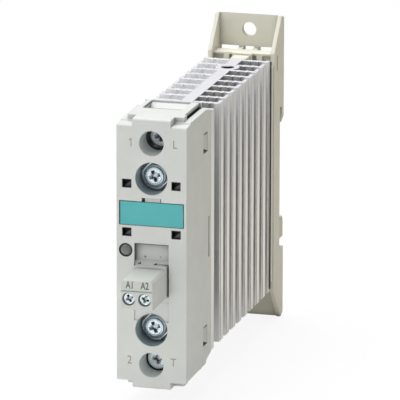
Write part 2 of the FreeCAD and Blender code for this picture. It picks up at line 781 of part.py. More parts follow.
def make_board():
    keep("circuit_board", box(("-board_half", "board_half"), (depth("board_front"), depth(BOARD_BACK)),
                              (height("-board_half_high"), height("board_half_high"))))
    keep("optocoupler", box(span("0", "opto_wide"), (depth(BOARD_BACK),
                            depth(BOARD_BACK + " + opto_deep")), span(height("opto_z"), "opto_high")))
    keep("snubber_capacitor", box(span("capacitor_x", "capacitor_wide"), (depth(BOARD_BACK),
                                  depth(BOARD_BACK + " + capacitor_deep")),
                                  span(height("capacitor_z"), "capacitor_high")))
    keep("varistor", rod("X", ("varistor_x - varistor_thick / 2",
                               depth(BOARD_BACK + " + varistor_dia / 2"), height("varistor_z")),
                         "varistor_thick", "varistor_dia"))
    resistors = [rod("X", ("%d * resistor_pitch / 2 - resistor_long / 2" % side,
                           depth(BOARD_BACK + " + resistor_dia / 2"), height("resistor_z")),
                     "resistor_long", "resistor_dia") for side in ENDS]
    group("board_resistors", *resistors)
    pins = [rod("Y", ("%d * gate_pin_x" % side, depth(BOARD_BACK),
                      height("gate_pin_z - %d * gate_pin_pitch" % place)),
                "(%s) - (%s)" % (SUBSTRATE_FRONT, BOARD_BACK), "gate_pin_dia")
            for side in ENDS for place in (0, 1)]
    group("gate_pins", *pins)


# ---------------------------------------------------------------- control plug

HEAD_FRONT = "plug_head_inset - plug_front"
WELL_FLOOR = "plug_head_inset - plug_front + plug_head_high + plug_well_gap"
CHAMBER_FRONT = WELL_FLOOR + " + plug_floor"
CAGE_FRONT = CHAMBER_FRONT + " + cage_gap + cage_travel"
BAR_FRONT = CAGE_FRONT + " + cage_plate + bar_gap"
CAGE_BACK = CAGE_FRONT + " + 2 * cage_plate + cage_window"
TULIP_FRONT = "tulip_back - tulip_long"


def make_plug():
    body = new_body("control_plug")
    outline = [("-plug_front", "plug_bottom"), ("-plug_front", "plug_top"), ("-flange_front", "plug_top"),
               ("-flange_front", "plug_top + flange_step"), ("flange_back", "plug_top + flange_step"),
               ("flange_back", "plug_top - nose_inset"), ("nose_back", "plug_top - nose_inset"),
               ("nose_back", "plug_bottom + nose_inset"), ("flange_back", "plug_bottom + nose_inset"),
               ("flange_back", "plug_bottom")]
    prism(body, "X", "-plug_half", "plug_half", [(depth(a), height(b)) for a, b in outline])
    bevels = [[("%s plug_half" % side, height("plug_top - plug_bevel")),
               ("%s plug_half" % side, height("plug_top")),
               ("%s (plug_half - plug_bevel)" % side, height("plug_top"))] for side in "+-"]
    prism(body, "Y", depth("-plug_front"), depth("-flange_front"), *bevels, cut=True)
    prism(body, "Y", depth("-plug_front"), depth("plug_groove - plug_front"),
          across("plug_half", *span(height("plug_groove_z"), "plug_groove")), cut=True)
    poles = ["%s pole_x" % side for side in "+-"]
    wells = [disc(pole, height("plug_screw_z"), "plug_head_dia + 2 * plug_well_gap") for pole in poles]
    prism(body, "Y", depth("-plug_front"), depth(WELL_FLOOR), *wells, cut=True)
    shafts = [disc(pole, height("plug_screw_z"), "plug_thread_dia + 2 * thread_gap") for pole in poles]
    prism(body, "Y", depth(WELL_FLOOR), depth(CHAMBER_FRONT), *shafts, cut=True)
    chambers = [rect(*span(pole, "cage_wide + 2 * cage_gap"), height("cage_low - cage_gap"),
                     height("link_top")) for pole in poles]
    prism(body, "Y", depth(CHAMBER_FRONT), depth(CAGE_BACK + " + cage_gap"), *chambers, cut=True)
    links = [rect(*span(pole, "bar_wide"), height("link_top - link_high"), height("link_top"))
             for pole in poles]
    prism(body, "Y", depth(CAGE_BACK), depth("tulip_back"), *links, cut=True)
    tulips = [rect(*span(pole, "tulip_side"), height("pole_z - tulip_side / 2"), height("link_top"))
              for pole in poles]
    prism(body, "Y", depth(TULIP_FRONT), depth("tulip_back"), *tulips, cut=True)
    holes = [rect(*span(pole, "pin_side + 2 * pin_gap"), *span(height("pole_z"), "pin_side + 2 * pin_gap"))
             for pole in poles]
    prism(body, "Y", depth("tulip_back"), depth("nose_back"), *holes, cut=True)
    wires = [rect(*span(pole, "cage_wide - 2 * cage_wall"), depth(BAR_FRONT + " + bar_thick"),
                  depth(BAR_FRONT + " + bar_thick + wire_hole_long")) for pole in poles]
    prism(body, "Z", height("plug_bottom"), height("cage_low"), *wires, cut=True)
    return body


def make_plug_contacts():
    contacts = []
    for side in ENDS:
        pole = "%d * pole_x" % side
        bar = box(span(pole, "bar_wide"), (depth(BAR_FRONT), depth(BAR_FRONT + " + bar_thick")),
                  (height("cage_low + cage_wall"), height("link_top")))
        link_bar = box(span(pole, "bar_wide"), (depth(BAR_FRONT), depth("tulip_back")),
                       (height("link_top - link_high"), height("link_top")))
        tulip = box(span(pole, "tulip_side"), (depth(TULIP_FRONT), depth("tulip_back")),
                    (height("pole_z - tulip_side / 2"), height("link_top")))
        hole = box(span(pole, "pin_side + 2 * pin_gap"), (depth("pin_tip - pin_gap"),
                   depth("tulip_back")), span(height("pole_z"), "pin_side + 2 * pin_gap"))
        contacts.append(cut(fuse(bar, link_bar, tulip), hole))
    group("plug_contacts", *contacts)


def make_control_clamp(mark, side):
    pole = "%d * pole_x" % side
    axis_z = height("plug_screw_z")
    head = rod("Y", (pole, depth(HEAD_FRONT), axis_z), "plug_head_high", "plug_head_dia")
    shank = rod("Y", (pole, depth(HEAD_FRONT), axis_z),
                "(%s) - (%s) - bar_gap / 2" % (BAR_FRONT, HEAD_FRONT), "plug_thread_dia")
    slots = cross_slot((pole, axis_z), depth(HEAD_FRONT), "plug_slot", "plug_slot_deep",
                       "plug_head_dia * 0.75")
    keep("control_screw_%s" % mark, cut(fuse(head, shank), slots))
    frame = box(span(pole, "cage_wide"), (depth(CAGE_FRONT), depth(CAGE_BACK)),
                (height("cage_low"), height("cage_high")))
    window = box(span(pole, "cage_wide - 2 * cage_wall"),
                 (depth(CAGE_FRONT + " + cage_plate"), depth(CAGE_BACK + " - cage_plate")),
                 (height("cage_low"), height("cage_high")))
    hole = rod("Y", (pole, depth(CAGE_FRONT), axis_z), "cage_plate", "plug_thread_dia + 2 * thread_gap")
    keep("plug_cage_%s" % mark, cut(frame, window, hole))


def make_socket():
    inner_half = "plug_half - nose_inset + shroud_gap"
    inner_low = "plug_bottom + nose_inset - shroud_gap"
    inner_high = "plug_top - nose_inset + shroud_gap"
    shell = box(("-(%s + shroud_wall)" % inner_half, inner_half + " + shroud_wall"),
                (depth("shroud_front"), depth("board_front")),
                (height(inner_low + " - shroud_wall"), height(inner_high + " + shroud_wall")))
    hollow = box(("-(%s)" % inner_half, inner_half),
                 (depth("shroud_front"), depth("board_front - shroud_floor")),
                 (height(inner_low), height(inner_high)))
    slots = [box(span("%d * pole_x" % side, "pin_side"), (depth("shroud_front"), depth("board_front")),
                 span(height("pole_z"), "pin_side")) for side in ENDS]
    keep("control_socket", cut(shell, hollow, *slots))
    pins = [box(span("%d * pole_x" % side, "pin_side"), (depth("pin_tip"), depth("board_front")),
                span(height("pole_z"), "pin_side")) for side in ENDS]
    group("socket_pins", *pins)


# ---------------------------------------------------------------- fixing screws

WASHER_TURN = -45


def make_fixings():
    screws = []
    washers = []
    for end in ENDS:
        axis_z = height("%d * fixing_at" % end)
        head = rod("Y", ("0", depth("fixing_head_at"), axis_z), "fixing_head_high", "fixing_head_dia")
        shank = rod("Y", ("0", depth("fixing_head_at"), axis_z),
                    "housing_depth + fixing_engage - fixing_head_at", "fixing_dia")
        slots = cross_slot(("0", axis_z), depth("fixing_head_at"), "head_slot", "head_slot_deep",
                           "fixing_head_dia * 0.7")
        screws.append(cut(fuse(head, shank), slots))
        washer_front = depth("fixing_head_at + fixing_head_high")
        round_plate = rod("Y", ("0", washer_front, "0"), "washer_thick", "washer_dia")
        flats = box(span("0", "washer_dia"), (washer_front, washer_front + " + washer_thick"),
                    span("0", "washer_flat"))
        both = doc.addObject("Part::MultiCommon", "trimmed")
        both.Shapes = [round_plate, flats]
        bore = rod("Y", ("0", washer_front, "0"), "washer_thick", "fixing_dia + 2 * thread_gap")
        washer = cut(both, bore)
        washer.Placement = FreeCAD.Placement(FreeCAD.Vector(),
                                             FreeCAD.Rotation(FreeCAD.Vector(0, 1, 0), WASHER_TURN))
        bind(washer, Placement__Base__z=axis_z)
        washers.append(washer)
    group("fixing_screws", *screws)
    group("fixing_washers", *washers)


# ---------------------------------------------------------------- heat sink

def make_heat_sink():
    """Extruded along Z: base plate, centre web and fins with ribs and hooked tips."""
    body = new_body("heat_sink")
    low, high = "-sink_high / 2", "sink_high / 2"
    base_back = depth("housing_depth + sink_base_thick")
    prism(body, "Z", low, high, across("sink_base_half", depth("housing_depth"), base_back))
    prism(body, "Z", low, high, across("web_thick / 2", base_back, depth("web_end")))
    prism(body, "Z", low, high, disc("0", depth("duct_at"), "duct_boss_dia"))
    prism(body, "Z", low, high,
          across("sink_pad_half", depth("web_end - sink_pad_thick"), depth("web_end")))
    back = "fin_first + fin_thick"
    half_fin = [("0", "fin_first"), ("fin_half", "fin_first"), ("fin_half", "fin_first + tip_groove_at"),
                ("fin_half - tip_groove_deep", "fin_first + tip_groove_at"),
                ("fin_half - tip_groove_deep", "fin_first + tip_groove_at + tip_groove_wide"),
                ("fin_half", "fin_first + tip_groove_at + tip_groove_wide"),
                ("fin_half", "fin_first + tip_long"), ("fin_half - tip_thick", "fin_first + tip_long"),
                ("fin_half - tip_thick", back), ("0", back)]
    right = [(a, depth(b)) for a, b in half_fin]
    left = [("-(%s)" % a, depth(b)) for a, b in reversed(half_fin[1:-1])]
    fin = prism(body, "Z", low, high, right + left)
    ribs = []
    for side in ENDS:
        for place in (0, 1):
            middle = "%d * (rib_first + %d * rib_pitch)" % (side, place)
            ribs.append(rect(*span(middle, "rib_wide"), depth("fin_first - rib_high"),
                             depth("fin_first + fin_thick / 4")))
            ribs.append(rect(*span(middle, "rib_wide"), depth("fin_first + fin_thick * 3 / 4"),
                             depth(back + " + rib_high")))
    rib = prism(body, "Z", low, high, *ribs)
    row = body.newObject("PartDesign::LinearPattern", "fins")
    row.Originals = [fin, rib]
    row.Direction = ([p for p in body.Origin.OriginFeatures if p.Role == "Y_Axis"][0], [""])
    bind(row, Length="fin_pitch * (fin_count - 1)", Occurrences="fin_count")
    body.Tip = row
    prism(body, "Z", low, high, disc("0", depth("duct_at"), "duct_dia"), cut=True)
    prism(body, "Z", low, high,
          across("fin_half", depth("web_end - last_tip_gap"), depth("web_end + tip_long")), cut=True)
    put_back = across("sink_pad_half", depth("web_end - sink_pad_thick"), depth("web_end"))
    prism(body, "Z", low, high, put_back)
    threads = [disc("0", height("%d * fixing_at" % end), "fixing_dia + 2 * thread_gap") for end in ENDS]
    prism(body, "Y", depth("housing_depth"), depth("housing_depth + fixing_engage"), *threads, cut=True)
    bores = [disc("0", "%d * bracket_screw_at" % end, "bracket_screw_dia + 2 * thread_gap")
             for end in ENDS]
    prism(body, "Y", depth("bracket_screw_end"), depth("web_end"), *bores, cut=True)
    return body


# ---------------------------------------------------------------- rail bracket

BACK = "rail_grip"
CORE_TOP = "bracket_high / 2"


def make_rail_bracket():
    body = new_body("rail_bracket")
    front = depth("bracket_front")
    prism(body, "X", "-(%s)" % HALF, HALF, rect(front, BACK, "-(%s)" % CORE_TOP, CORE_TOP))
    prism(body, "X", "-tongue_half", "tongue_half",
          rect(depth("tongue_front"), front + " + wall", "-tongue_high / 2", "tongue_high / 2"))
    for end in ENDS:
        plate = [("rail_grip - wing_plate", "bracket_high / 2 - wall"), ("rail_grip - wing_plate",
                 "wing_end"), ("rail_grip", "wing_end - wing_bevel"), ("rail_grip",
                 "bracket_high / 2 - wall")]
        prism(body, "X", "-(%s)" % HALF, HALF, [(a, "%d * (%s)" % (end, b)) for a, b in plate])
        cheek = [(front, "bracket_high / 2 - wall"), (front, CORE_TOP),
                 ("rail_grip - cheek_tip_in", "wing_end - cheek_tip_low"),
                 ("rail_grip - cheek_tip_in + cheek_tip_low / 2", "wing_end"),
                 ("rail_grip - wing_plate", "wing_end"),
                 ("rail_grip - wing_plate / 2", "wing_end - wing_bevel"),
                 ("rail_grip - wing_plate / 2", "bracket_high / 2 - wall")]
        cheek = [(a, "%d * (%s)" % (end, b)) for a, b in cheek]
        prism(body, "X", "%s - cheek_thick" % HALF, HALF, cheek)
        prism(body, "X", "-(%s)" % HALF, "-(%s - cheek_thick)" % HALF, cheek)
        under_shelf = "shelf_top - shelf_thick"
        step = [(front, "panel_low"), (front + " + panel_in", "panel_low"),
                (front + " + panel_in", under_shelf), (front + " + shelf_front", under_shelf),
                (front + " + shelf_front", "shelf_top"), ("rail_grip - wing_plate", "shelf_top"),
                ("rail_grip - wing_plate", CORE_TOP), (front, CORE_TOP)]
        prism(body, "X", "-(%s - cheek_thick)" % HALF, "%s - cheek_thick" % HALF,
              [(a, "%d * (%s)" % (end, b)) for a, b in step], cut=True)
        nub_levels = ["%d * (%s)" % (end, level)
                      for level in ("panel_low", "shelf_top - shelf_thick / 2")][::end]
        nubs = [rect(*span("%d * nub_x" % side, "nub_side"), *nub_levels) for side in ENDS]
        prism(body, "Y", front + " + shelf_front", front + " + panel_in + wall", *nubs)
        bulge_levels = ["%d * %s" % (end, level) for level in ("panel_low", "shelf_top")][::end]
        prism(body, "Y", front + " + shelf_front - shelf_bulge", front + " + panel_in + wall",
              across("bulge_half", *bulge_levels))
        window_low, window_top = ["%d * %s" % (end, level)
                                  for level in ("window_low", "window_top")][::end]
        outer = "window_centre / 2 + window_rib"
        gaps = [across("window_centre / 2", window_low, window_top),
                rect(outer, outer + " + window_left", window_low, window_top),
                rect("-(%s + window_left)" % outer, "-(%s)" % outer, window_low, window_top)]
        prism(body, "Y", front + " + shelf_back", BACK, *gaps, cut=True)
        prism(body, "Y", "rail_grip - wing_plate", BACK,
              disc("0", "%d * wing_hole_at" % end, "wing_hole_dia"), cut=True)
    prism(body, "X", "-tongue_seat_half", "tongue_seat_half",
          rect(depth("web_end"), front + " + shelf_front", "-sink_high / 2", "sink_high / 2"))
    cut_rail_recess(body)
    cut_latch_room(body)
    cut_hollows(body)
    seats = [disc("0", "%d * bracket_screw_at" % end, "bracket_head_dia + 2 * screw_gap") for end in ENDS]
    prism(body, "Y", "-bracket_head_sunk - bracket_head_high", "0", *seats, cut=True)
    bores = [disc("0", "%d * bracket_screw_at" % end, "bracket_screw_dia + 2 * screw_gap")
             for end in ENDS]
    prism(body, "Y", depth("web_end"), "-bracket_head_sunk", *bores, cut=True)
    return body


def cut_rail_recess(body):
    """Recess for the rail with the fixed hook's slot above it."""
    outline = [("0", "-recess_lower"), ("rail_grip", "-recess_lower"),
               ("rail_grip", "recess_upper + hook_bevel"), ("hook_slot + wing_plate / 4", "recess_upper"),
               ("hook_slot", "recess_upper"), ("hook_slot", "hook_slot_top"),
               ("-seat_relief", "hook_slot_top"), ("-seat_relief", "recess_upper"), ("0", "recess_upper")]
    prism(body, "X", "-(%s)" % HALF, HALF, outline, cut=True)


def cut_latch_room(body):
    """Room for the latch's nose, arm and spring."""
    room_low = "-(latch_nose_low + latch_travel + latch_guide_gap)"
    prism(body, "X", "-(%s)" % HALF, HALF, rect("-seat_relief", BACK, room_low, "-recess_lower"),
          cut=True)
    arm_front = "rail_grip - latch_rear_gap - latch_arm_front - 2 * latch_guide_gap"
    prism(body, "Y", arm_front, BACK,
          across("latch_arm_half + latch_guide_gap", "-(latch_arm_low + latch_travel + latch_guide_gap)",
                 room_low), cut=True)
    prism(body, "Y", "-(spring_dia + 2 * spring_gap)", BACK + " - latch_guide_gap",
          across("spring_dia / 2 + spring_gap", "-(latch_nose_low + spring_long)", "-latch_notch"),
          cut=True)


def cut_hollows(body):
    """Weight-saving hollows from the rear, and the thin slits in both sides."""
    side = "%s - hollow_wall" % HALF
    upper = [rect("hollow_wall / 2", side, "hollow_low", "hollow_top"),
             rect("-(%s)" % side, "-hollow_wall / 2", "hollow_low", "hollow_top")]
    lower_in = "latch_arm_half + latch_guide_gap + hollow_wall"
    lower_top = "-(latch_nose_low + latch_travel + latch_guide_gap + hollow_wall)"
    lower = [rect(lower_in, side, "-hollow_top", lower_top),
             rect("-(%s)" % side, "-(%s)" % lower_in, "-hollow_top", lower_top)]
    prism(body, "Y", depth("bracket_front + hollow_floor"), BACK, *upper, *lower, cut=True)
    slit_a = rect(*span(depth("bracket_front + slit_a_from_front"), "side_slit"), "slit_a_low",
                  "slit_a_high")
    slit_b = rect(*span("hook_slot + slit_b_at / 4", "side_slit / 2"), "slit_b_low", "hook_slot_top")
    prism(body, "X", "%s - side_slit_deep" % HALF, HALF, slit_a, slit_b, cut=True)
    prism(body, "X", "-(%s)" % HALF, "-(%s - side_slit_deep)" % HALF, slit_a, slit_b, cut=True)


def make_bracket_screws():
    screws = []
    for end in ENDS:
        place = "%d * bracket_screw_at" % end
        seat = "-bracket_head_sunk"
        head = rod("Y", ("0", seat + " - bracket_head_high", place), "bracket_head_high",
                   "bracket_head_dia")
        shank = rod("Y", ("0", depth("bracket_screw_end"), place),
                    "seat_depth - bracket_screw_end - bracket_head_sunk", "bracket_screw_dia")
        rear = [box(span("0", long), (seat + " - head_slot", seat), span(place, wide))
                for long, wide in (("bracket_head_dia * 0.7", "plug_slot"),
                                   ("plug_slot", "bracket_head_dia * 0.7"))]
        screws.append(cut(fuse(head, shank), *rear))
    group("bracket_screws", *screws)


# ---------------------------------------------------------------- rail latch

def make_latch():
    """Sliding nose that grips the rail's lower edge, with an arm down to its pull eye."""
    body = new_body("rail_latch")
    rear = "rail_grip - latch_rear_gap"
    nose = [("latch_play", "-latch_notch"), ("hook_slot - latch_play", "-latch_notch"),
            ("hook_slot - latch_play", "-latch_lip"), ("rail_grip - latch_bevel", "-latch_lip"),
            (rear, "-(latch_lip + latch_bevel)"), (rear, "-latch_nose_low"),
            ("latch_play", "-latch_nose_low")]
    prism(body, "X", "-(%s - latch_side_gap)" % HALF, "%s - latch_side_gap" % HALF, nose)
    prism(body, "X", "-latch_arm_half", "latch_arm_half",
          rect(rear + " - latch_arm_front", rear, "-latch_arm_low", "-latch_nose_low + wall"))
    prism(body, "X", "-spring_dia / 2", "spring_dia / 2",
          rect("-spring_dia - spring_gap / 2", "latch_play + wall", "-latch_nose_low",
               "-latch_nose_low + heel_thick"))
    prism(body, "Y", rear + " - latch_arm_front", rear,
          across("latch_eye_half", "-latch_eye_low", "-latch_eye_low + latch_eye_high"), cut=True)
    return body


def make_spring():
    """Closed tube in the place of the coil spring between the heel and the bracket."""
    place = ("0", "-spring_dia / 2 - spring_gap / 2", "-latch_nose_low - spring_long")
    outer = rod("Z", place, "spring_long", "spring_dia")
    inner = rod("Z", place, "spring_long", "spring_dia - 2 * spring_wire")
    keep("latch_spring", cut(outer, inner))


make_front_housing()
make_rear_frame()
make_front_pieces()
make_terminal("1", 1, "top_head_at")
make_terminal("2", -1, "bottom_head_at")
make_power_stage()
make_board()
make_plug()
make_plug_contacts()
make_control_clamp("a1", -1)
make_control_clamp("a2", 1)
make_socket()
make_fixings()
make_heat_sink()
make_rail_bracket()
make_bracket_screws()
make_latch()
make_spring()
doc.recompute()

for thing in doc.Objects:
    if "Invalid" in thing.State or "Error" in thing.State:
        raise RuntimeError("%s (%s) failed: %s" % (thing.Name, thing.Label, thing.State))
os.makedirs("parts", exist_ok=True)
for label, thing in nodes.items():
    shape = thing.Shape
    if shape.isNull() or not shape.isValid() or not shape.Solids:
        raise RuntimeError("%s has no valid solid" % label)
for label, thing in nodes.items():
    thing.Shape.exportStep("parts/%s.step" % label)
    box_of = thing.Shape.BoundBox
    print("%-20s solids %2d volume %9.2f  X %7.2f %7.2f  Y %8.2f %8.2f  Z %7.2f %7.2f" % (
        label, len(thing.Shape.Solids), thing.Shape.Volume, box_of.XMin, box_of.XMax,
        box_of.YMin, box_of.YMax, box_of.ZMin, box_of.ZMax))
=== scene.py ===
import math

import bmesh
import bpy
from mathutils import Matrix, Vector
from mathutils.bvhtree import BVHTree


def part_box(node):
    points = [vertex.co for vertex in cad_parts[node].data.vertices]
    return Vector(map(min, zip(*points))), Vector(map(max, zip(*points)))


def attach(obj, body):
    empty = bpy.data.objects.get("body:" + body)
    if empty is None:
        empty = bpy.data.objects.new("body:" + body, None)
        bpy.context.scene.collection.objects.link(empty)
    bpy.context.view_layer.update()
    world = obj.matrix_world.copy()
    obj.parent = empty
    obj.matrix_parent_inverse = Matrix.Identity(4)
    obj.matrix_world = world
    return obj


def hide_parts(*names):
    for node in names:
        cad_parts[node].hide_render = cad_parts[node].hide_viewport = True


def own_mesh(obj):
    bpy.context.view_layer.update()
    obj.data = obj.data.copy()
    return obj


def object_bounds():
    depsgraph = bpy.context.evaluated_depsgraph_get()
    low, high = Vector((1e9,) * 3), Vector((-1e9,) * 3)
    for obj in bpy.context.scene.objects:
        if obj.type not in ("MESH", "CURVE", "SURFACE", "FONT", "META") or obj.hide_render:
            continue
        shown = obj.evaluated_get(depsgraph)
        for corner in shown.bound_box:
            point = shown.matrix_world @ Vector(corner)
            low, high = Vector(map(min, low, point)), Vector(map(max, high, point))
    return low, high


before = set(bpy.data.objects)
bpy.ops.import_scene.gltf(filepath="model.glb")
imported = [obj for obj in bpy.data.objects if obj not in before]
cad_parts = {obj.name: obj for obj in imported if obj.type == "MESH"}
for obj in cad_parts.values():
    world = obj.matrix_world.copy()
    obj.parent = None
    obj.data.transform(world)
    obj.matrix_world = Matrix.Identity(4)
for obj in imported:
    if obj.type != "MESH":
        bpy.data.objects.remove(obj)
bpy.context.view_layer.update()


# ------------------------------------------------------------------ heat sink
# One length of extruded 6063 aluminium, sawn off at both ends: a base plate that takes the
# power stage, a web behind it with a round screw duct, and nine fins with hooked tips.
# The die leaves fine lines along the length; the saw leaves the end faces pale and bright.

MM = 0.001
sink_low, sink_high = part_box("heat_sink")
BASE_THICK = 4.2 * MM
BASE_HALF = 11.0 * MM
WEB_HALF = 2.0 * MM
DUCT_BEHIND_BASE = 60.7 * MM
DUCT_RADIUS = 2.1 * MM
DUCT_BOSS_RADIUS = 3.9 * MM
SEAT_HALF = 2.65 * MM
SEAT_THICK = 2.3 * MM
FIN_COUNT = 9
FIN_PITCH = 7.46 * MM
FIRST_FIN_BEHIND_BASE = 11.1 * MM
FIN_THICK = 1.6 * MM
FIN_HALF = 10.9 * MM
TIP_LONG = 4.6 * MM
TIP_THICK = 1.3 * MM
TIP_GROOVE = 0.6 * MM
TIP_GROOVE_WIDE = 1.0 * MM
LAST_TIP_LONG = 2.5 * MM
RIB_PLACES = (4.7 * MM, 7.4 * MM)
RIB_WIDE = 0.9 * MM
RIB_HIGH = 0.6 * MM
DIE_ROUNDING = 0.12 * MM
DIE_LINE_MM = 0.32
SAW_LINE_MM = 0.5


def linear(code):
    """Linear colour of an sRGB hex code."""
    parts = [int(code[i:i + 2], 16) / 255 for i in (1, 3, 5)]
    return [p / 12.92 if p <= 0.04045 else ((p + 0.055) / 1.055) ** 2.4 for p in parts] + [1.0]


def add(tree, kind, inputs=None, **settings):
    """Add a node with its settings; each input is a value or the socket that feeds it."""
    node = tree.nodes.new(kind)
    for name, value in settings.items():
        setattr(node, name, value)
    for key, value in (inputs or {}).items():
        if isinstance(value, bpy.types.NodeSocket):
            tree.links.new(value, node.inputs[key])
        else:
            node.inputs[key].default_value = value
    return node


def new_material(name):
    material = bpy.data.materials.new(name)
    material.use_nodes = True
    material.node_tree.nodes.clear()
    return material, material.node_tree


def close_material(tree, inputs):
    shader = add(tree, "ShaderNodeBsdfPrincipled", inputs)
    add(tree, "ShaderNodeOutputMaterial", {"Surface": shader.outputs["BSDF"]})


def noise(tree, size_mm, detail=2.0):
    """Noise on Object coordinates with grains of a size, or a size for each axis."""
    sizes = size_mm if isinstance(size_mm, tuple) else (size_mm,) * 3
    place = add(tree, "ShaderNodeTexCoord")
    scaled = add(tree, "ShaderNodeMapping", {"Vector": place.outputs["Object"],
                                             "Scale": [1 / (size * MM) for size in sizes]})
    return add(tree, "ShaderNodeTexNoise", {"Vector": scaled.outputs["Vector"], "Scale": 1.0,
                                            "Detail": detail}).outputs["Fac"]


def between(tree, factor, low, high):
    """Spread a noise's middle range over low to high."""
    return add(tree, "ShaderNodeMapRange", {"Value": factor, "From Min": 0.3, "From Max": 0.7,
                                            "To Min": low, "To Max": high}).outputs["Result"]


def blend_colour(tree, factor, first, second):
    mix = add(tree, "ShaderNodeMix", {"Factor": factor}, data_type="RGBA")
    for socket, colour in ((mix.inputs[6], first), (mix.inputs[7], second)):
        if isinstance(colour, bpy.types.NodeSocket):
            tree.links.new(colour, socket)
        else:
            socket.default_value = colour
    return mix.outputs[2]


# Painted shade, more than the light alone leaves: the channels on the right are dark inside, out
# to near the fins' tips at the top and only further in lower down. The left ones have none.
SHADE_FROM_X = 8.4 * MM
SHADE_TO_X = 9.6 * MM
SHADE_FURTHER_IN = 2.6 * MM
SHADE_LOW_Z = 20 * MM
SHADE_HIGH_Z = 31 * MM
CHANNEL_SHADE = 0.45


def painted_crevice_shade(tree, reach_mm, least, alone=False):
    """Painted shade for gaps and corners: share of the colour kept, 1 in the open, least far
    inside.
    """
    open_share = add(tree, "ShaderNodeAmbientOcclusion", {"Distance": reach_mm * MM}, samples=6,
                     only_local=alone).outputs["AO"]
    return add(tree, "ShaderNodeMapRange", {"Value": open_share, "From Min": 0.25, "From Max": 0.8,
                                            "To Min": least, "To Max": 1.0}).outputs["Result"]


def extruded_aluminium(name):
    """Mill-finish extrusion: soft grey metal, fine bright and dark die lines along Z; painted shade
    darkens its channels and gaps.
    """
    material, tree = new_material(name)
    lines = noise(tree, (DIE_LINE_MM, DIE_LINE_MM, 90.0), 3.0)
    saw = noise(tree, (12.0, SAW_LINE_MM, 1.0), 2.0)
    normal = add(tree, "ShaderNodeNewGeometry").outputs["Normal"]
    up = add(tree, "ShaderNodeSeparateXYZ", {"Vector": normal}).outputs["Z"]
    level = add(tree, "ShaderNodeMath", {0: up}, operation="ABSOLUTE").outputs[0]
    sawn = add(tree, "ShaderNodeMath", {0: level, 1: 0.8}, operation="GREATER_THAN").outputs[0]
    drawn = blend_colour(tree, between(tree, lines, 0, 1), linear("#F0F1F3"), linear("#FCFCFD"))
    # Painted shade: the right-hand channels are darkened inside, as set by the values above.
    point = add(tree, "ShaderNodeTexCoord").outputs["Object"]
    place = add(tree, "ShaderNodeSeparateXYZ", {"Vector": point})
    deeper = add(tree, "ShaderNodeMapRange", {"Value": place.outputs["Z"], "From Min": SHADE_LOW_Z,
                                              "From Max": SHADE_HIGH_Z, "To Min": SHADE_FURTHER_IN,
                                              "To Max": 0.0}).outputs["Result"]
    inward = add(tree, "ShaderNodeMath", {0: place.outputs["X"], 1: deeper}).outputs[0]
    near_tip = add(tree, "ShaderNodeMapRange", {"Value": inward, "From Min": SHADE_FROM_X,
                                                "From Max": SHADE_TO_X, "To Min": CHANNEL_SHADE,
                                                "To Max": 1.0}).outputs["Result"]
    left = add(tree, "ShaderNodeMath", {0: place.outputs["X"], 1: 0.0},
               operation="LESS_THAN").outputs[0]
    lit = add(tree, "ShaderNodeMath", {0: near_tip, 1: left}, operation="MAXIMUM").outputs[0]
    drawn = blend_colour(tree, lit, (0, 0, 0, 1), drawn)
    end = blend_colour(tree, between(tree, saw, 0, 1), linear("#D6D6DA"), linear("#E4E4E8"))
    rough_side = between(tree, lines, 0.32, 0.44)
    rough = add(tree, "ShaderNodeMix", {0: sawn, 2: rough_side, 3: 0.62}).outputs[0]
    relief = add(tree, "ShaderNodeBump", {"Strength": 0.30, "Distance": 0.03 * MM, "Height": lines})
    whole = blend_colour(tree, sawn, drawn, end)
    # Painted shade: deep between the fins the colour darkens towards black.
    whole = blend_colour(tree, painted_crevice_shade(tree, 7.0, 0.86, True), (0, 0, 0, 1), whole)
    close_material(tree, {"Base Color": whole, "Metallic": 1.0,
                          "Roughness": rough, "Normal": relief.outputs["Normal"]})
    return material


def freeze(piece):
    """Turn a piece with its modifiers into a plain mesh at the origin."""
    depsgraph = bpy.context.evaluated_depsgraph_get()
    mesh = bpy.data.meshes.new_from_object(piece.evaluated_get(depsgraph))
    mesh.transform(piece.matrix_world)
    if piece.type != "MESH":
        solid = bpy.data.objects.new(piece.name + "_solid", mesh)
        bpy.context.scene.collection.objects.link(solid)
        name = piece.name
        bpy.data.objects.remove(piece)
        solid.name = name
        return solid
    piece.modifiers.clear()
    piece.data = mesh
    piece.matrix_world = Matrix()
    return piece


def smooth_by_angle(piece, degrees):
    piece.data.polygons.foreach_set("use_smooth", [True] * len(piece.data.polygons))
    piece.data.set_sharp_from_angle(angle=math.radians(degrees))
    return piece


def extrusion(name, loops, low, high, rounding):
    """Closed XY loops, holes included, drawn out along Z with slightly rounded edges."""
    curve = bpy.data.curves.new(name, "CURVE")
    curve.dimensions = "2D"
    curve.fill_mode = "BOTH"
    curve.extrude = (high - low) / 2 - rounding
    curve.bevel_depth = rounding
    curve.bevel_resolution = 1
    curve.offset = -rounding
    for loop in loops:
        spline = curve.splines.new("POLY")
        spline.points.add(len(loop) - 1)
        spline.use_cyclic_u = True
        for point, (x, y) in zip(spline.points, loop):
            point.co = (x, y, 0, 1)
    piece = bpy.data.objects.new(name, curve)
    bpy.context.scene.collection.objects.link(piece)
    piece.location.z = (low + high) / 2
    bpy.context.view_layer.update()
    return smooth_by_angle(freeze(piece), 25)


def arc(x, y, radius, start, end, steps):
    """Points on an arc, from one angle in degrees to another."""
    angles = [math.radians(start + (end - start) * i / steps) for i in range(steps + 1)]
    return [(x + radius * math.cos(a), y + radius * math.sin(a)) for a in angles]


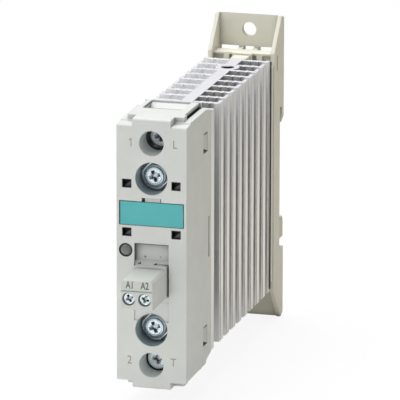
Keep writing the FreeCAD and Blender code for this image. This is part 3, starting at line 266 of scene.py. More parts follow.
def row_tree():
    """Geometry nodes that repeat a mesh in a straight row and give it one material."""
    tree = bpy.data.node_groups.new("row_of_copies", "GeometryNodeTree")
    for name, kind in (("Geometry", "NodeSocketGeometry"), ("Count", "NodeSocketInt"),
                       ("Step", "NodeSocketVector"), ("Finish", "NodeSocketMaterial")):
        tree.interface.new_socket(name, in_out="INPUT", socket_type=kind)
    tree.interface.new_socket("Geometry", in_out="OUTPUT", socket_type="NodeSocketGeometry")
    given = add(tree, "NodeGroupInput").outputs
    line = add(tree, "GeometryNodeMeshLine", {"Count": given["Count"], "Offset": given["Step"]},
               mode="OFFSET")
    copies = add(tree, "GeometryNodeInstanceOnPoints", {"Points": line.outputs["Mesh"],
                                                        "Instance": given["Geometry"]})
    real = add(tree, "GeometryNodeRealizeInstances", {"Geometry": copies.outputs["Instances"]})
    coloured = add(tree, "GeometryNodeSetMaterial", {"Geometry": real.outputs["Geometry"],
                                                     "Material": given["Finish"]})
    add(tree, "NodeGroupOutput", {"Geometry": coloured.outputs["Geometry"]})
    return tree


ROW = row_tree()


def repeat(piece, count, step, material):
    """Repeat a piece in a row with the shared node tree."""
    row = piece.modifiers.new("row", "NODES")
    row.node_group = ROW
    values = {"Count": count, "Step": step, "Finish": material}
    for item in ROW.interface.items_tree:
        if item.in_out == "INPUT" and item.name in values:
            row[item.identifier] = values[item.name]
    return freeze(piece)


def dress(piece, material, body, slot, *nodes):
    """Give a piece its material, its body and the solids it stands for; the slot is not used."""
    piece.data.materials.clear()
    piece.data.materials.append(material)
    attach(piece, body)
    if nodes:
        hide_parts(*nodes)
    return piece


def mirrored(loop):
    return [(-x, y) for x, y in reversed(loop)]


aluminium = extruded_aluminium("aluminium_extruded")
base_y = sink_low.y
duct_y = base_y + DUCT_BEHIND_BASE
meet = math.degrees(math.asin(WEB_HALF / DUCT_BOSS_RADIUS))
spine_right = [(BASE_HALF, base_y), (BASE_HALF, base_y + BASE_THICK),
               (WEB_HALF, base_y + BASE_THICK)]
spine_right += arc(0, duct_y, DUCT_BOSS_RADIUS, meet - 90, 90 - meet, 16)
spine_right += [(WEB_HALF, sink_high.y - SEAT_THICK), (SEAT_HALF, sink_high.y - SEAT_THICK),
                (SEAT_HALF, sink_high.y)]
duct = arc(0, duct_y, DUCT_RADIUS, 0, 350, 35)
spine = extrusion("sink_spine", [spine_right + mirrored(spine_right), duct], sink_low.z,
                  sink_high.z, DIE_ROUNDING)
dress(spine, aluminium, "relay", "bare_aluminium", "heat_sink")


def fin_loop(tip_long):
    """Right half of one fin seen from above: ribs on both faces and the hooked tip."""
    front = base_y + FIRST_FIN_BEHIND_BASE
    back = front + FIN_THICK
    loop = [(WEB_HALF, front)]
    for place in RIB_PLACES:
        loop += [(place - RIB_WIDE / 2, front), (place - RIB_WIDE / 5, front - RIB_HIGH),
                 (place + RIB_WIDE / 5, front - RIB_HIGH), (place + RIB_WIDE / 2, front)]
    loop += [(FIN_HALF, front), (FIN_HALF, front + TIP_GROOVE),
             (FIN_HALF - TIP_GROOVE, front + TIP_GROOVE)]
    inner = front + TIP_GROOVE + TIP_GROOVE_WIDE
    loop += [(FIN_HALF - TIP_GROOVE, inner), (FIN_HALF, inner)]
    loop += [(FIN_HALF, front + tip_long), (FIN_HALF - TIP_THICK, front + tip_long),
             (FIN_HALF - TIP_THICK, back)]
    for place in reversed(RIB_PLACES):
        loop += [(place + RIB_WIDE / 2, back), (place + RIB_WIDE / 5, back + RIB_HIGH),
                 (place - RIB_WIDE / 5, back + RIB_HIGH), (place - RIB_WIDE / 2, back)]
    return loop + [(WEB_HALF, back)]


fin = fin_loop(TIP_LONG)
fins = extrusion("sink_fins", [fin, mirrored(fin)], sink_low.z, sink_high.z, DIE_ROUNDING)
fins = repeat(fins, FIN_COUNT - 1, (0, FIN_PITCH, 0), aluminium)
dress(smooth_by_angle(fins, 25), aluminium, "relay", "bare_aluminium")
last = [(x, y + FIN_PITCH * (FIN_COUNT - 1)) for x, y in fin_loop(LAST_TIP_LONG)]
last_fin = extrusion("sink_last_fin", [last, mirrored(last)], sink_low.z, sink_high.z, DIE_ROUNDING)
dress(last_fin, aluminium, "relay", "bare_aluminium")


# ------------------------------------------------------------------ power stage
# An aluminium carrier plate with a white ceramic substrate and two bare silicon switches,
# pressed on the heat sink through a grey-white silicone pad. Copper bars bring the load
# current in; they are tinned, so they look like dull silver with a warm tint.

SAW_GRAIN_MM = 0.4
TIN_GRAIN_MM = 0.5


def fine_surface(name, colours, rough, grain_mm, metallic=0.0, relief_mm=0.02, coat=0.0, ior=1.5,
                 least=1.0):
    """Even surface with a soft mottle of two near colours and a fine relief; with least below 1,
    painted shade darkens its corners and gaps.
    """
    material, tree = new_material(name)
    grain = noise(tree, grain_mm, 3.0)
    mottle = between(tree, noise(tree, 7.0), 0, 1)
    colour = blend_colour(tree, mottle, *[linear(c) for c in colours])
    # Painted shade in corners and gaps, down to least of the colour.
    if least < 1:
        colour = blend_colour(tree, painted_crevice_shade(tree, 3.0, least), (0, 0, 0, 1), colour)
    relief = add(tree, "ShaderNodeBump", {"Strength": 0.35, "Distance": relief_mm * MM,
                                          "Height": grain})
    close_material(tree, {"Base Color": colour, "Roughness": between(tree, grain, rough - 0.05,
                                                                     rough + 0.05),
                          "Metallic": metallic, "Coat Weight": coat, "IOR": ior,
                          "Normal": relief.outputs["Normal"]})
    return material


def finish_node(node, material):
    """Give a carried-over solid its real material."""
    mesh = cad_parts[node].data
    mesh.materials.clear()
    mesh.materials.append(material)


finish_node("base_plate", fine_surface("aluminium_rolled", ("#C9CACB", "#D5D6D6"), 0.38,
                                       SAW_GRAIN_MM, 1.0))
finish_node("thermal_pad", fine_surface("silicone_filled", ("#D9D9D4", "#E3E3DF"), 0.8, 0.3))
finish_node("power_substrate", fine_surface("alumina_ceramic", ("#EDEBE3", "#F4F2EC"), 0.45, 0.3))
finish_node("power_thyristors", fine_surface("silicon_polished", ("#4A4D57", "#565A66"), 0.16, 1.0,
                                             0.4, 0.002))
tinned = fine_surface("copper_tinned", ("#B9B0A4", "#C9C2B8"), 0.34, TIN_GRAIN_MM, 1.0)
for node in ("terminal_busbar_1", "terminal_busbar_2", "gate_pins", "socket_pins", "plug_contacts"):
    finish_node(node, tinned)


# ------------------------------------------------------------------ control board
# Glass-epoxy board under green solder resist, with the lamp, optocoupler, snubber capacitor,
# varistor and two resistors. It stands on four posts behind the front face.

board = fine_surface("glass_epoxy_green", ("#1E5A38", "#26663F"), 0.35, 0.6, 0.0, 0.01, 0.3)
finish_node("circuit_board", board)
finish_node("optocoupler", fine_surface("epoxy_moulded_black", ("#17171A", "#1F1F22"), 0.5, 0.2))
finish_node("snubber_capacitor", fine_surface("film_box_yellow", ("#C99A22", "#D3A52E"), 0.35, 0.3))
finish_node("varistor", fine_surface("epoxy_dipped_blue", ("#1D3B78", "#24458A"), 0.3, 1.2, 0.0,
                                     0.06, 0.4))
finish_node("board_resistors", fine_surface("lacquer_beige", ("#B49A70", "#C0A67C"), 0.3, 0.8, 0.0,
                                            0.03, 0.4))
finish_node("led", fine_surface("epoxy_clear_lamp", ("#DADACF", "#E4E4DA"), 0.12, 2.0))


# ------------------------------------------------------------------ housing
# Two shells of light grey glass-filled polyamide: the front housing with its wells and wire
# funnels, and the snap frame whose catches show in the side windows. Both are moulded with a
# fine spark-eroded texture, and every outer edge is broken by a small radius.

EDGE_ROUNDING = 0.22 * MM
SPARK_GRAIN_MM = 0.22


def cad_copy(node, name):
    """Copy of a node's mesh with doubled points merged and flat faces joined."""
    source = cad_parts[node].data
    mesh = bpy.data.meshes.new(name)
    mesh.from_pydata([v.co for v in source.vertices], [], [p.vertices for p in source.polygons])
    shape = bmesh.new()
    shape.from_mesh(mesh)
    bmesh.ops.remove_doubles(shape, verts=shape.verts, dist=0.001 * MM)
    bmesh.ops.recalc_face_normals(shape, faces=shape.faces)
    bmesh.ops.dissolve_limit(shape, angle_limit=math.radians(0.3), verts=shape.verts,
                             edges=shape.edges)
    shape.to_mesh(mesh)
    shape.free()
    piece = bpy.data.objects.new(name, mesh)
    bpy.context.scene.collection.objects.link(piece)
    return piece


def round_edges(piece, radius):
    """Round the outer edges; points that stray are brought back on the old surface."""
    shape = bmesh.new()
    shape.from_mesh(piece.data)
    before = BVHTree.FromBMesh(shape)
    low = [min(v.co[i] for v in shape.verts) for i in range(3)]
    high = [max(v.co[i] for v in shape.verts) for i in range(3)]
    outer = [edge for edge in shape.edges if len(edge.link_faces) == 2
             and edge.calc_face_angle_signed() > math.radians(32)
             and edge.calc_length() > 4 * radius]
    bmesh.ops.bevel(shape, geom=outer, offset=radius, segments=2, affect="EDGES", profile=0.5,
                    clamp_overlap=False, loop_slide=True)
    for vertex in shape.verts:
        nearest, _, _, away = before.find_nearest(vertex.co)
        if away > radius / 2:
            vertex.co = nearest
        vertex.co = [min(max(value, a), b) for value, a, b in zip(vertex.co, low, high)]
    shape.to_mesh(piece.data)
    shape.free()
    return smooth_by_angle(piece, 20)


def moulded(name, colours, rough=0.5, grain_mm=SPARK_GRAIN_MM):
    """Moulded polyamide: even colour, soft broad highlight, barely visible sparkle of texture,
    painted shade in corners.
    """
    return fine_surface(name, colours, rough, grain_mm, 0.0, 0.012, 0.0, 1.53, 0.45)


housing_grey = moulded("polyamide_light_grey", ("#D3D5D2", "#D8DAD7"))
housing = round_edges(cad_copy("front_housing", "housing_shell"), EDGE_ROUNDING)
dress(housing, housing_grey, "relay", "housing_grey", "front_housing")
snap_frame = round_edges(cad_copy("rear_frame", "snap_frame"), EDGE_ROUNDING / 2)
dress(snap_frame, moulded("polyamide_frame_grey", ("#C6C6BF", "#CCCCC5")), "relay", "frame_grey",
      "rear_frame")
finish_node("control_socket", moulded("polyamide_socket_dark", ("#2A2C2D", "#303233")))


# ------------------------------------------------------------------ label plate
# Loose plate of teal polycarbonate, pressed into its pocket and pried out at the notch.
# It is moulded with a smoother face than the housing, and here it is left blank.

plate_teal = moulded("polycarbonate_teal", ("#4FB3B5", "#54B8BA"), 0.42, 0.35)
plate = round_edges(cad_copy("label_plate", "label_blank"), 0.15 * MM)
for vertex in plate.data.vertices:
    if vertex.co.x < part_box("label_plate")[0].x + MM:
        vertex.co.x += 0.25 * MM
dress(plate, plate_teal, "label_plate", "label_teal", "label_plate")


# ------------------------------------------------------------------ lined openings
# What is seen through the openings of the moulding is painted shade: thin black sheets set just
# inside the square holes, the slits beside the crown and the screw duct in the heat sink's web,
# and along the wire entries. A grey triangle low in each square hole is painted light.

INK_THICK = 0.02 * MM
CENTRE_Z = (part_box("front_housing")[0].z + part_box("front_housing")[1].z) / 2
FACE_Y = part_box("front_housing")[0].y


def loft(name, rings, closed=False):
    """Skin over equal rings of points: capped at both ends, or closed on itself."""
    count, total = len(rings[0]), len(rings)
    last_ring = range((total - 1) * count, total * count)
    faces = [] if closed else [tuple(range(count)), tuple(last_ring)]
    for i in range(total if closed else total - 1):
        a, b = i * count, (i + 1) % total * count
        faces += [(a + k, a + (k + 1) % count, b + (k + 1) % count, b + k) for k in range(count)]
    mesh = bpy.data.meshes.new(name)
    mesh.from_pydata([point for ring in rings for point in ring], [], faces)
    shape = bmesh.new()
    shape.from_mesh(mesh)
    bmesh.ops.recalc_face_normals(shape, faces=shape.faces)
    shape.to_mesh(mesh)
    shape.free()
    piece = bpy.data.objects.new(name, mesh)
    bpy.context.scene.collection.objects.link(piece)
    return piece


def facing(loop, depth):
    """Ring of (x, height) points in mm at a depth behind the face."""
    return [(x * MM, FACE_Y + depth * MM, CENTRE_Z + z * MM) for x, z in loop]


def oblong(x, z, half_x, half_z):
    return [(x - half_x, z - half_z), (x + half_x, z - half_z), (x + half_x, z + half_z),
            (x - half_x, z + half_z)]


def circle(x, z, radius, steps=48):
    turns = [2 * math.pi * i / steps for i in range(steps)]
    return [(x + radius * math.cos(a), z + radius * math.sin(a)) for a in turns]


# Black for painted shade in openings and gaps, and for the printed arrows.
shade_and_print_black = moulded("painted_shade_and_print_black", ("#1C1B1F", "#222126"), 0.5)
# Painted shade: dark grey for the shaded edges of the plug recess.
shade = moulded("painted_recess_shade_grey", ("#626764", "#6A6F6C"), 0.5)
# Painted light: grey for the lit lower corner seen in each square hole.
pocket_painted_light = moulded("painted_light_pocket_grey", ("#6A6770", "#716E77"), 0.5)
SQUARE_X, SQUARE_HALF, SQUARE_WALL = 7.9, (1.42, 1.295), 0.12
for row, z in (("upper", 22.3), ("lower", 6.85)):
    for hand, x in (("left", -SQUARE_X), ("right", SQUARE_X)):
        outer = oblong(x, z, *SQUARE_HALF)
        inner = oblong(x, z, SQUARE_HALF[0] - SQUARE_WALL, SQUARE_HALF[1] - SQUARE_WALL)
        pocket = loft("pocket_%s_%s" % (row, hand), [facing(outer, 2.95), facing(outer, 0.12),
                                                     facing(inner, 0.12), facing(inner, 2.8)])
        dress(pocket, shade_and_print_black, "relay", "part_black")
        # Painted light: a grey triangle where light reaches low in the square hole.
        lit_triangle = [(x - 1.15, z - 1.12), (x + 1.2, z - 1.12), (x + 1.2, z + 0.75)]
        dress(loft("wedge_%s_%s" % (row, hand), [facing(lit_triangle, 1.2), facing(lit_triangle, 1.3)]),
              pocket_painted_light, "relay", "part_black")
SLIT = [(8.32, 42.1), (8.32, 40.63), (9.07, 40.63), (9.07, 41.5), (8.97, 41.5), (8.97, 40.75),
        (8.44, 40.75), (8.44, 42.1)]
# Painted shade along the front and left edges of each wire entry, on top of the crown.
ENTRY_EDGE_SHADE = [(-6.86, 14.55), (5.66, 14.55), (5.66, 15.4), (-6.5, 15.4), (-6.5, 23.5), (-6.86, 23.5)]
for end, up in (("top", 1), ("bottom", -1)):
    for hand, side in (("left", -1), ("right", 1)):
        loop = [(side * x, up * z) for x, z in SLIT]
        dress(loft("slit_%s_%s" % (end, hand), [facing(loop, 8.4), facing(loop, 24.9)]), shade_and_print_black,
              "relay", "part_black")
    shade_strip = [facing([(x, up * height) for x, y in ENTRY_EDGE_SHADE], 0) for height in (42.75, 42.9)]
    shade_strip = [[(px, FACE_Y + y * MM, pz) for (px, _, pz), (_, y) in zip(ring, ENTRY_EDGE_SHADE)]
            for ring in shade_strip]
    dress(loft("entry_edge_shade_" + end, shade_strip), shade_and_print_black, "relay", "part_black")
# Painted shade: black tubes inside both ends of the screw duct, as deep in an unlit bore.
DUCT_SHADE_DEPTH = 8.0
for end, level in (("top", sink_high.z), ("bottom", sink_low.z)):
    inward = -DUCT_SHADE_DEPTH * MM if end == "top" else DUCT_SHADE_DEPTH * MM
    rings = [[(x * MM, duct_y + y * MM, level + rise) for x, y in circle(0, 0, radius)]
             for radius, rise in ((2.08, inward * 0.05), (2.08, inward), (2.02, inward),
                                  (2.02, inward * 0.05))]
    dress(smooth_by_angle(loft("duct_painted_shade_" + end, rings, True), 30), shade_and_print_black, "relay",
          "part_black")


# ------------------------------------------------------------------ plug socket and label pocket
# Details of the front face round the plug and the label plate, moulded in one with the housing:
# painted shade along two edges of the recess, a slope with two small arrows that leads the plug in,
# two sills, and painted shade in the gaps round the label plate where it stands clear of its
# pocket.

def joined(name, pieces):
    """One piece made of several closed ones."""
    shape = bmesh.new()
    for piece in pieces:
        shape.from_mesh(piece.data)
        bpy.data.objects.remove(piece)
    mesh = bpy.data.meshes.new(name)
    shape.to_mesh(mesh)
    shape.free()
    whole = bpy.data.objects.new(name, mesh)
    bpy.context.scene.collection.objects.link(whole)
    return whole


# Painted shade on the left wall and along the top of the recess floor.
left_edge, top_edge = oblong(-5.41, 0.6, 0.03, 2.75), oblong(0, 3.27, 5.38, 0.1)
edges = [loft("edge", [facing(left_edge, 0.15), facing(left_edge, 1.95)]),
         loft("edge", [facing(top_edge, 0.12), facing(top_edge, 1.9)])]
dress(joined("recess_edges", edges), shade, "relay", "part_black")
RAMP_FOOT, RAMP_HEAD = (0.12, -3.285), (1.96, -2.18)
RAMP = [RAMP_FOOT, RAMP_HEAD, (2.3, RAMP_HEAD[1]), (2.3, RAMP_FOOT[1])]
sill, bridge = oblong(0, -14.22, 5.5, 0.95), oblong(0.3, 17.25, 2.45, 0.6)
fills = [loft("fill", [[(x * MM, FACE_Y + deep * MM, CENTRE_Z + z * MM) for deep, z in RAMP]
                       for x in (-5.4, 5.4)]),
         loft("fill", [facing(sill, 0.42), facing(sill, 1.6)]),
         loft("fill", [facing(bridge, 0.5), facing(bridge, 0.6)])]
# Painted light: a copy of the housing grey without its painted corner shade keeps these fills
# light.
ramp_grey = fine_surface("polyamide_ramp_grey", ("#CED1CD", "#D4D7D3"), 0.5, 0.4)
dress(joined("socket_ramp_and_sills", fills), ramp_grey, "relay", "housing_grey")
arrows = []
for x in (-4.0, 1.1):
    corners = []
    for px, z in ((x - 0.6, -3.2), (x + 0.6, -3.2), (x + 0.4, -2.72)):
        share = (z - RAMP_FOOT[1]) / (RAMP_HEAD[1] - RAMP_FOOT[1])
        corners.append((px, RAMP_FOOT[0] + share * (RAMP_HEAD[0] - RAMP_FOOT[0]), z))
    arrows.append(loft("arrow", [[(px * MM, FACE_Y + (deep + rise) * MM, CENTRE_Z + z * MM)
                                  for px, deep, z in corners] for rise in (-0.05, 0.05)]))
dress(joined("wire_arrows", arrows), shade_and_print_black, "relay", "part_black")
# Painted shade: black strips in the gaps at the notch ends and along the plate's left side.
LABEL_GAPS = ((oblong(-2.6, 17.25, 0.42, 0.6), 0.75, 0.85),
              (oblong(2.9, 17.25, 0.1, 0.6), 0.75, 0.85),
              (oblong(-10.1, 12.92, 0.18, 3.65), 0.3, 0.9))
gaps = [loft("gap", [facing(gap, near), facing(gap, far)]) for gap, near, far in LABEL_GAPS]
dress(joined("label_gaps", gaps), shade_and_print_black, "relay", "part_black")


# ------------------------------------------------------------------ screw wells
# Thin tubes on the walls of the four wells carry painted shade: pale in the terminal wells and
# blue-grey, darker, in the fixing wells. The deeper terminal wells end in black painted shade,
# where the tube stops short of the clamp.

TERMINAL_AT, TERMINAL_WELL = 35.4, 3.97
FIXING_AT, FIXING_WELL = 24.2, 5.17
for name, z, radius, deep, colours in (("terminal", TERMINAL_AT, TERMINAL_WELL, 7.8,
                                        ("#D6DCDB", "#DDE2E0")),
                                       ("fixing", FIXING_AT, FIXING_WELL, 6.1,
                                        ("#93A6AD", "#9BAEB5"))):
    # Painted shade: the colour of each kind of well's shaded wall, darker again in corners.
    well_wall_shade = fine_surface("sleeve_%s_steel" % name, colours, 0.42, 0.4, 0.0, 0.01, 0.0, 1.6, 0.6)
    for end, up in (("top", 1), ("bottom", -1)):
        wide, narrow = circle(0, up * z, radius), circle(0, up * z, radius - 0.07)
        rings = [facing(wide, 0.2), facing(wide, deep), facing(narrow, deep), facing(narrow, 0.2)]
        shaded_wall = loft("sleeve_%s_%s" % (name, end), rings, True)
        dress(smooth_by_angle(shaded_wall, 30), well_wall_shade, "relay", "zinc_steel")
# Painted shade: black rings deep in the terminal wells, in front of the clamps.
well_shade_rings = []
for up in (1, -1):
    wide, narrow = circle(0, up * TERMINAL_AT, TERMINAL_WELL), circle(0, up * TERMINAL_AT, 3.9)
    well_shade_rings.append(loft("foot", [facing(wide, 7.85), facing(wide, 9.9), facing(narrow, 9.9),
                              facing(narrow, 7.85)], True))
dress(smooth_by_angle(joined("terminal_well_painted_shade", well_shade_rings), 30), shade_and_print_black, "relay", "part_black")


# ------------------------------------------------------------------ foot seams
# The moulded foot does not close tight on the heat sink's last fin. Two dark strips stand for
# the unlit gap between aluminium and plastic, one along each side.

SEAM_INNER, SEAM_OUTER = 10.9 * MM, 11.24 * MM
seam_back = sink_high.y + 0.02 * MM
seams = []
for side in (-1, 1):
    strip = [(side * SEAM_INNER, sink_high.y - 0.45 * MM),
             (side * SEAM_OUTER, sink_high.y - 0.35 * MM),
             (side * SEAM_OUTER, seam_back), (side * SEAM_INNER, seam_back)]
    seams.append(loft("shade_strip", [[(x, y, z) for x, y in strip]
                               for z in (sink_low.z + 1.0 * MM, sink_high.z - 0.5 * MM)]))
dress(joined("foot_seams", seams), shade_and_print_black, "relay", "part_black")


# ------------------------------------------------------------------ screws
# Cold-headed steel screws, zinc plated and blue passivated: bright metal with a cool tint.
# Each has a cross recess with four finer marks between its arms, pressed in by a punch.

def lathe(name, profile, centre, segments=64):
    """Turn a profile of (radius, depth) points about an axis along Y through the centre."""
    shape = bmesh.new()
    rings = []
    for radius, depth in profile:
        if radius == 0:
            rings.append([shape.verts.new((centre[0], depth, centre[2]))])
            continue
        ring = []
        for i in range(segments):
            a = 2 * math.pi * i / segments
            ring.append(shape.verts.new((centre[0] + radius * math.cos(a), depth,
                                         centre[2] + radius * math.sin(a))))
        rings.append(ring)
    for one, two in zip(rings, rings[1:]):
        for i in range(segments):
            corners = [one[i % len(one)], one[(i + 1) % len(one)], two[(i + 1) % len(two)],
                       two[i % len(two)]]
            unique = list(dict.fromkeys(corners))
            if len(unique) > 2:
                shape.faces.new(unique)
    bmesh.ops.recalc_face_normals(shape, faces=shape.faces)
    mesh = bpy.data.meshes.new(name)
    shape.to_mesh(mesh)
    shape.free()
    piece = bpy.data.objects.new(name, mesh)
    bpy.context.scene.collection.objects.link(piece)
    return piece


def cross_punch(centre, front, reach, deep, turn):
    """Punch for a cross recess: two tapered bars, and two fine blades between them."""
    shape = bmesh.new()
    bars = ((0, 1.0, 0.30, 1.0), (90, 1.0, 0.30, 1.0), (45, 1.05, 0.07, 0.35),
            (135, 1.05, 0.07, 0.35))
    for angle, length, width, depth in bars:
        corners = []
        for y, shrink in ((front - deep * 0.2, 1.1), (front + deep * depth, 0.42)):
            for sx, sz in ((-1, -1), (1, -1), (1, 1), (-1, 1)):
                x, z = sx * reach * length * shrink, sz * reach * width * (0.35 + 0.65 * shrink)
                a = math.radians(angle + turn)
                corners.append(shape.verts.new((centre[0] + x * math.cos(a) - z * math.sin(a), y,
                                                centre[2] + x * math.sin(a) + z * math.cos(a))))
        low, high = corners[:4], corners[4:]
        shape.faces.new(low)
        shape.faces.new(high[::-1])
        for i in range(4):
            shape.faces.new((low[i], high[i], high[(i + 1) % 4], low[(i + 1) % 4]))
    bmesh.ops.recalc_face_normals(shape, faces=shape.faces)
    mesh = bpy.data.meshes.new("punch")
    shape.to_mesh(mesh)
    shape.free()
    punch = bpy.data.objects.new("punch", mesh)
    bpy.context.scene.collection.objects.link(punch)
    return punch


def carve(piece, tool):
    """Take one shape out of another."""
    cut = piece.modifiers.new("cut", "BOOLEAN")
    cut.operation = "DIFFERENCE"
    cut.solver = "EXACT"
    cut.use_self = True
    cut.object = tool
    piece = freeze(piece)
    bpy.data.objects.remove(tool)
    return piece


def screw(name, box, head, shank_radius, recess, turn):
    """Screw along Y in its box: head (radius, height, bowl radius, bowl depth) and shank."""
    low, high = box
    radius, height, bowl, sunk = head
    centre = ((low.x + high.x) / 2, 0, (low.z + high.z) / 2)
    front, back = low.y, high.y
    edge = radius * 0.09
    profile = [(0, front + sunk * 0.5), (bowl * 0.55, front + sunk * 0.8),
               (bowl * 0.9, front + sunk),
               (bowl, front + sunk * 0.9), (bowl + edge * 0.6, front + edge * 0.15),
               (radius - edge * 1.6, front), (radius - edge * 0.5, front + edge * 0.35),
               (radius, front + edge * 1.3), (radius, front + height - edge),
               (radius - edge, front + height), (shank_radius, front + height),
               (shank_radius, back - shank_radius * 0.4),
               (shank_radius * 0.6, back), (0, back)]
    body = lathe(name, profile, centre)
    return smooth_by_angle(carve(body, cross_punch(centre, front, *recess, turn)), 28)


def plated_steel(name, colours, rough=0.24):
    """Zinc plate, blue passivated: bright cool metal with faint cloudy bands, painted shade in its
    recesses.
    """
    material, tree = new_material(name)
    cloud = noise(tree, 1.6, 3.0)
    colour = blend_colour(tree, between(tree, cloud, 0, 1), *[linear(c) for c in colours])
    # Painted shade: the colour darkens strongly in the cross recess and close hollows.
    colour = blend_colour(tree, painted_crevice_shade(tree, 1.5, 0.1, True), (0, 0, 0, 1), colour)
    relief = add(tree, "ShaderNodeBump", {"Strength": 0.3, "Distance": 0.012 * MM,
                                          "Height": noise(tree, 0.5, 2.0)})
    close_material(tree, {"Base Color": colour, "Metallic": 1.0,
                          "Roughness": between(tree, cloud, rough - 0.05, rough + 0.07),
                          "Normal": relief.outputs["Normal"]})
    return material


zinc = plated_steel("zinc_blue_passivated", ("#C8D7DF", "#E8F0F5"))
# Painted light: a brighter copy of the zinc for the terminal screws deep in their wells.
zinc_painted_light = plated_steel("zinc_painted_light_bright", ("#E2EEF6", "#FBFDFF"), 0.3)
zinc_dull = plated_steel("zinc_dull", ("#9FB0B5", "#B9C6CA"), 0.36)
fix_low, fix_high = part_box("fixing_screws")
FIXING_HEAD = 8.0 * MM
top_box = (Vector((fix_low.x, fix_low.y, fix_high.z - FIXING_HEAD)), fix_high)
fixing = screw("fixing_screw_pair", top_box, (3.0 * MM, 2.9 * MM, 2.3 * MM, 0.3 * MM), 2.0 * MM,
               (2.1 * MM, 1.6 * MM), 20)
fixing_step = (0, 0, fix_low.z - fix_high.z + FIXING_HEAD)
fixing = repeat(fixing, 2, fixing_step, zinc)
dress(smooth_by_angle(fixing, 28), zinc, "relay", "zinc_steel", "fixing_screws")
# Painted shade: a darker copy of the zinc for the flanges, lower down round each head.
flange_shaded_zinc = plated_steel("zinc_flange_painted_shade", ("#A5B8BE", "#BCCDD2"), 0.36)
flange_centre = ((top_box[0].x + top_box[1].x) / 2, 0, (top_box[0].z + top_box[1].z) / 2)
flange = lathe("fixing_screw_flanges", [(radius * MM, fix_low.y + deep * MM) for radius, deep in
                                        ((2.95, 0.75), (3.45, 0.9), (3.68, 1.2), (3.68, 2.9),
                                         (2.95, 2.9), (2.95, 0.75))], flange_centre)
flange = repeat(flange, 2, fixing_step, flange_shaded_zinc)
dress(smooth_by_angle(flange, 28), flange_shaded_zinc, "relay", "zinc_steel")
washers = round_edges(cad_copy("fixing_washers", "fixing_washer_pair"), 0.12 * MM)
dress(washers, zinc, "relay", "zinc_steel", "fixing_washers")
for number, turn in (("1", 12), ("2", 2)):
    name = "terminal_screw_" + number
    piece = screw(name + "_head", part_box(name), (3.5 * MM, 2.8 * MM, 2.5 * MM, 0.25 * MM),
                  1.95 * MM, (2.0 * MM, 1.5 * MM), turn)
    dress(piece, zinc_painted_light, name, "zinc_steel", name)
    name = "terminal_clamp_" + number
    piece = round_edges(cad_copy(name, name + "_saddle"), 0.2 * MM)
    dress(piece, zinc_dull, name, "zinc_steel", name)


# ------------------------------------------------------------------ control plug
# Plug-in screw terminal of pale grey-green polyamide, with two captive cross-slotted screws
# in round wells and a wire cage behind each. It presses on to two pins and pulls off by hand.

plug_grey = moulded("polyamide_plug_grey", ("#C9CCC7", "#CFD1CC"), 0.45)
plug = round_edges(cad_copy("control_plug", "plug_body"), 0.18 * MM)
dress(plug, plug_grey, "control_connector", "plug_grey", "control_plug")
for mark, turn in (("a1", 25), ("a2", -20)):
    name = "control_screw_" + mark
    piece = screw(name + "_head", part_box(name), (1.95 * MM, 1.6 * MM, 1.5 * MM, 0.12 * MM),
                  1.2 * MM, (1.35 * MM, 0.9 * MM), turn)
    dress(piece, zinc, name, "zinc_steel", name)
    name = "plug_cage_" + mark
    piece = round_edges(cad_copy(name, name + "_frame"), 0.1 * MM)
    dress(piece, zinc_dull, name, "zinc_steel", name)


# ------------------------------------------------------------------ status lens
# Smoke-tinted acrylic light pipe with a domed head that stands a little out of the face.
# The lamp behind it is off, so it looks like dark polished glass in a fine shadow ring.

lens_low, lens_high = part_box("led_lens")
lens_axis = ((lens_low.x + lens_high.x) / 2, 0, (lens_low.z + lens_high.z) / 2)
lens_radius = (lens_high.x - lens_low.x) / 2
DOME = 1.0 * MM
RIM = 0.2 * MM
dome_radius = lens_radius - RIM
profile = [(dome_radius * math.sin(math.radians(a)),
            lens_low.y + DOME * (1 - math.cos(math.radians(a)))) for a in range(0, 91, 9)]
profile += [(dome_radius, lens_low.y + 2.7 * MM), (1.5 * MM, lens_low.y + 2.7 * MM),
            (1.5 * MM, lens_high.y), (0, lens_high.y)]
lens = smooth_by_angle(lathe("status_lens", profile, lens_axis), 40)
dress(lens, fine_surface("acrylic_smoke", ("#676B69", "#6F7371"), 0.3, 1.5, 0.0, 0.002, 0.5, 1.49),
      "relay", "lens_smoke", "led_lens")
lens_x, lens_z = lens_axis[0] / MM, (lens_axis[2] - CENTRE_Z) / MM
wide, narrow = circle(lens_x, lens_z, 2.17), circle(lens_x, lens_z, 1.92)
collar = loft("lens_rim", [facing(wide, 0.1), facing(wide, 1.2), facing(narrow, 1.2),
                           facing(narrow, 0.1)], True)
dress(smooth_by_angle(collar, 30), shade_and_print_black, "relay", "part_black")


# ------------------------------------------------------------------ printed marks
# Terminal marks in thin grey laser print, a few hundredths of a millimetre deep on the real
# housing; here they are letters that thin, flush on the plastic.

LETTER_HEIGHT = 2.6 * MM
CAP_SHARE = 0.69


def print_mark(name, text, x, y, z, height, body, material, squeeze=0.85, turn=0,
               bold=0.0):
    """Letters on a face that looks along -Y, centred on x and z."""
    curve = bpy.data.curves.new(name, "FONT")
    curve.body = text
    curve.size = height / CAP_SHARE
    curve.align_x = "CENTER"
    curve.align_y = "CENTER"
    curve.extrude = INK_THICK
    curve.offset = bold
    letters = bpy.data.objects.new(name, curve)
    bpy.context.scene.collection.objects.link(letters)
    letters.matrix_world = (Matrix.Translation((x, y, z))
                            @ Matrix.Rotation(math.radians(90), 4, "X")
                            @ Matrix.Rotation(math.radians(turn), 4, "Z")
                            @ Matrix.Diagonal((squeeze, 1, 1, 1)))
    bpy.context.view_layer.update()
    letters = freeze(letters)
    return dress(letters, material, body, "part_black")


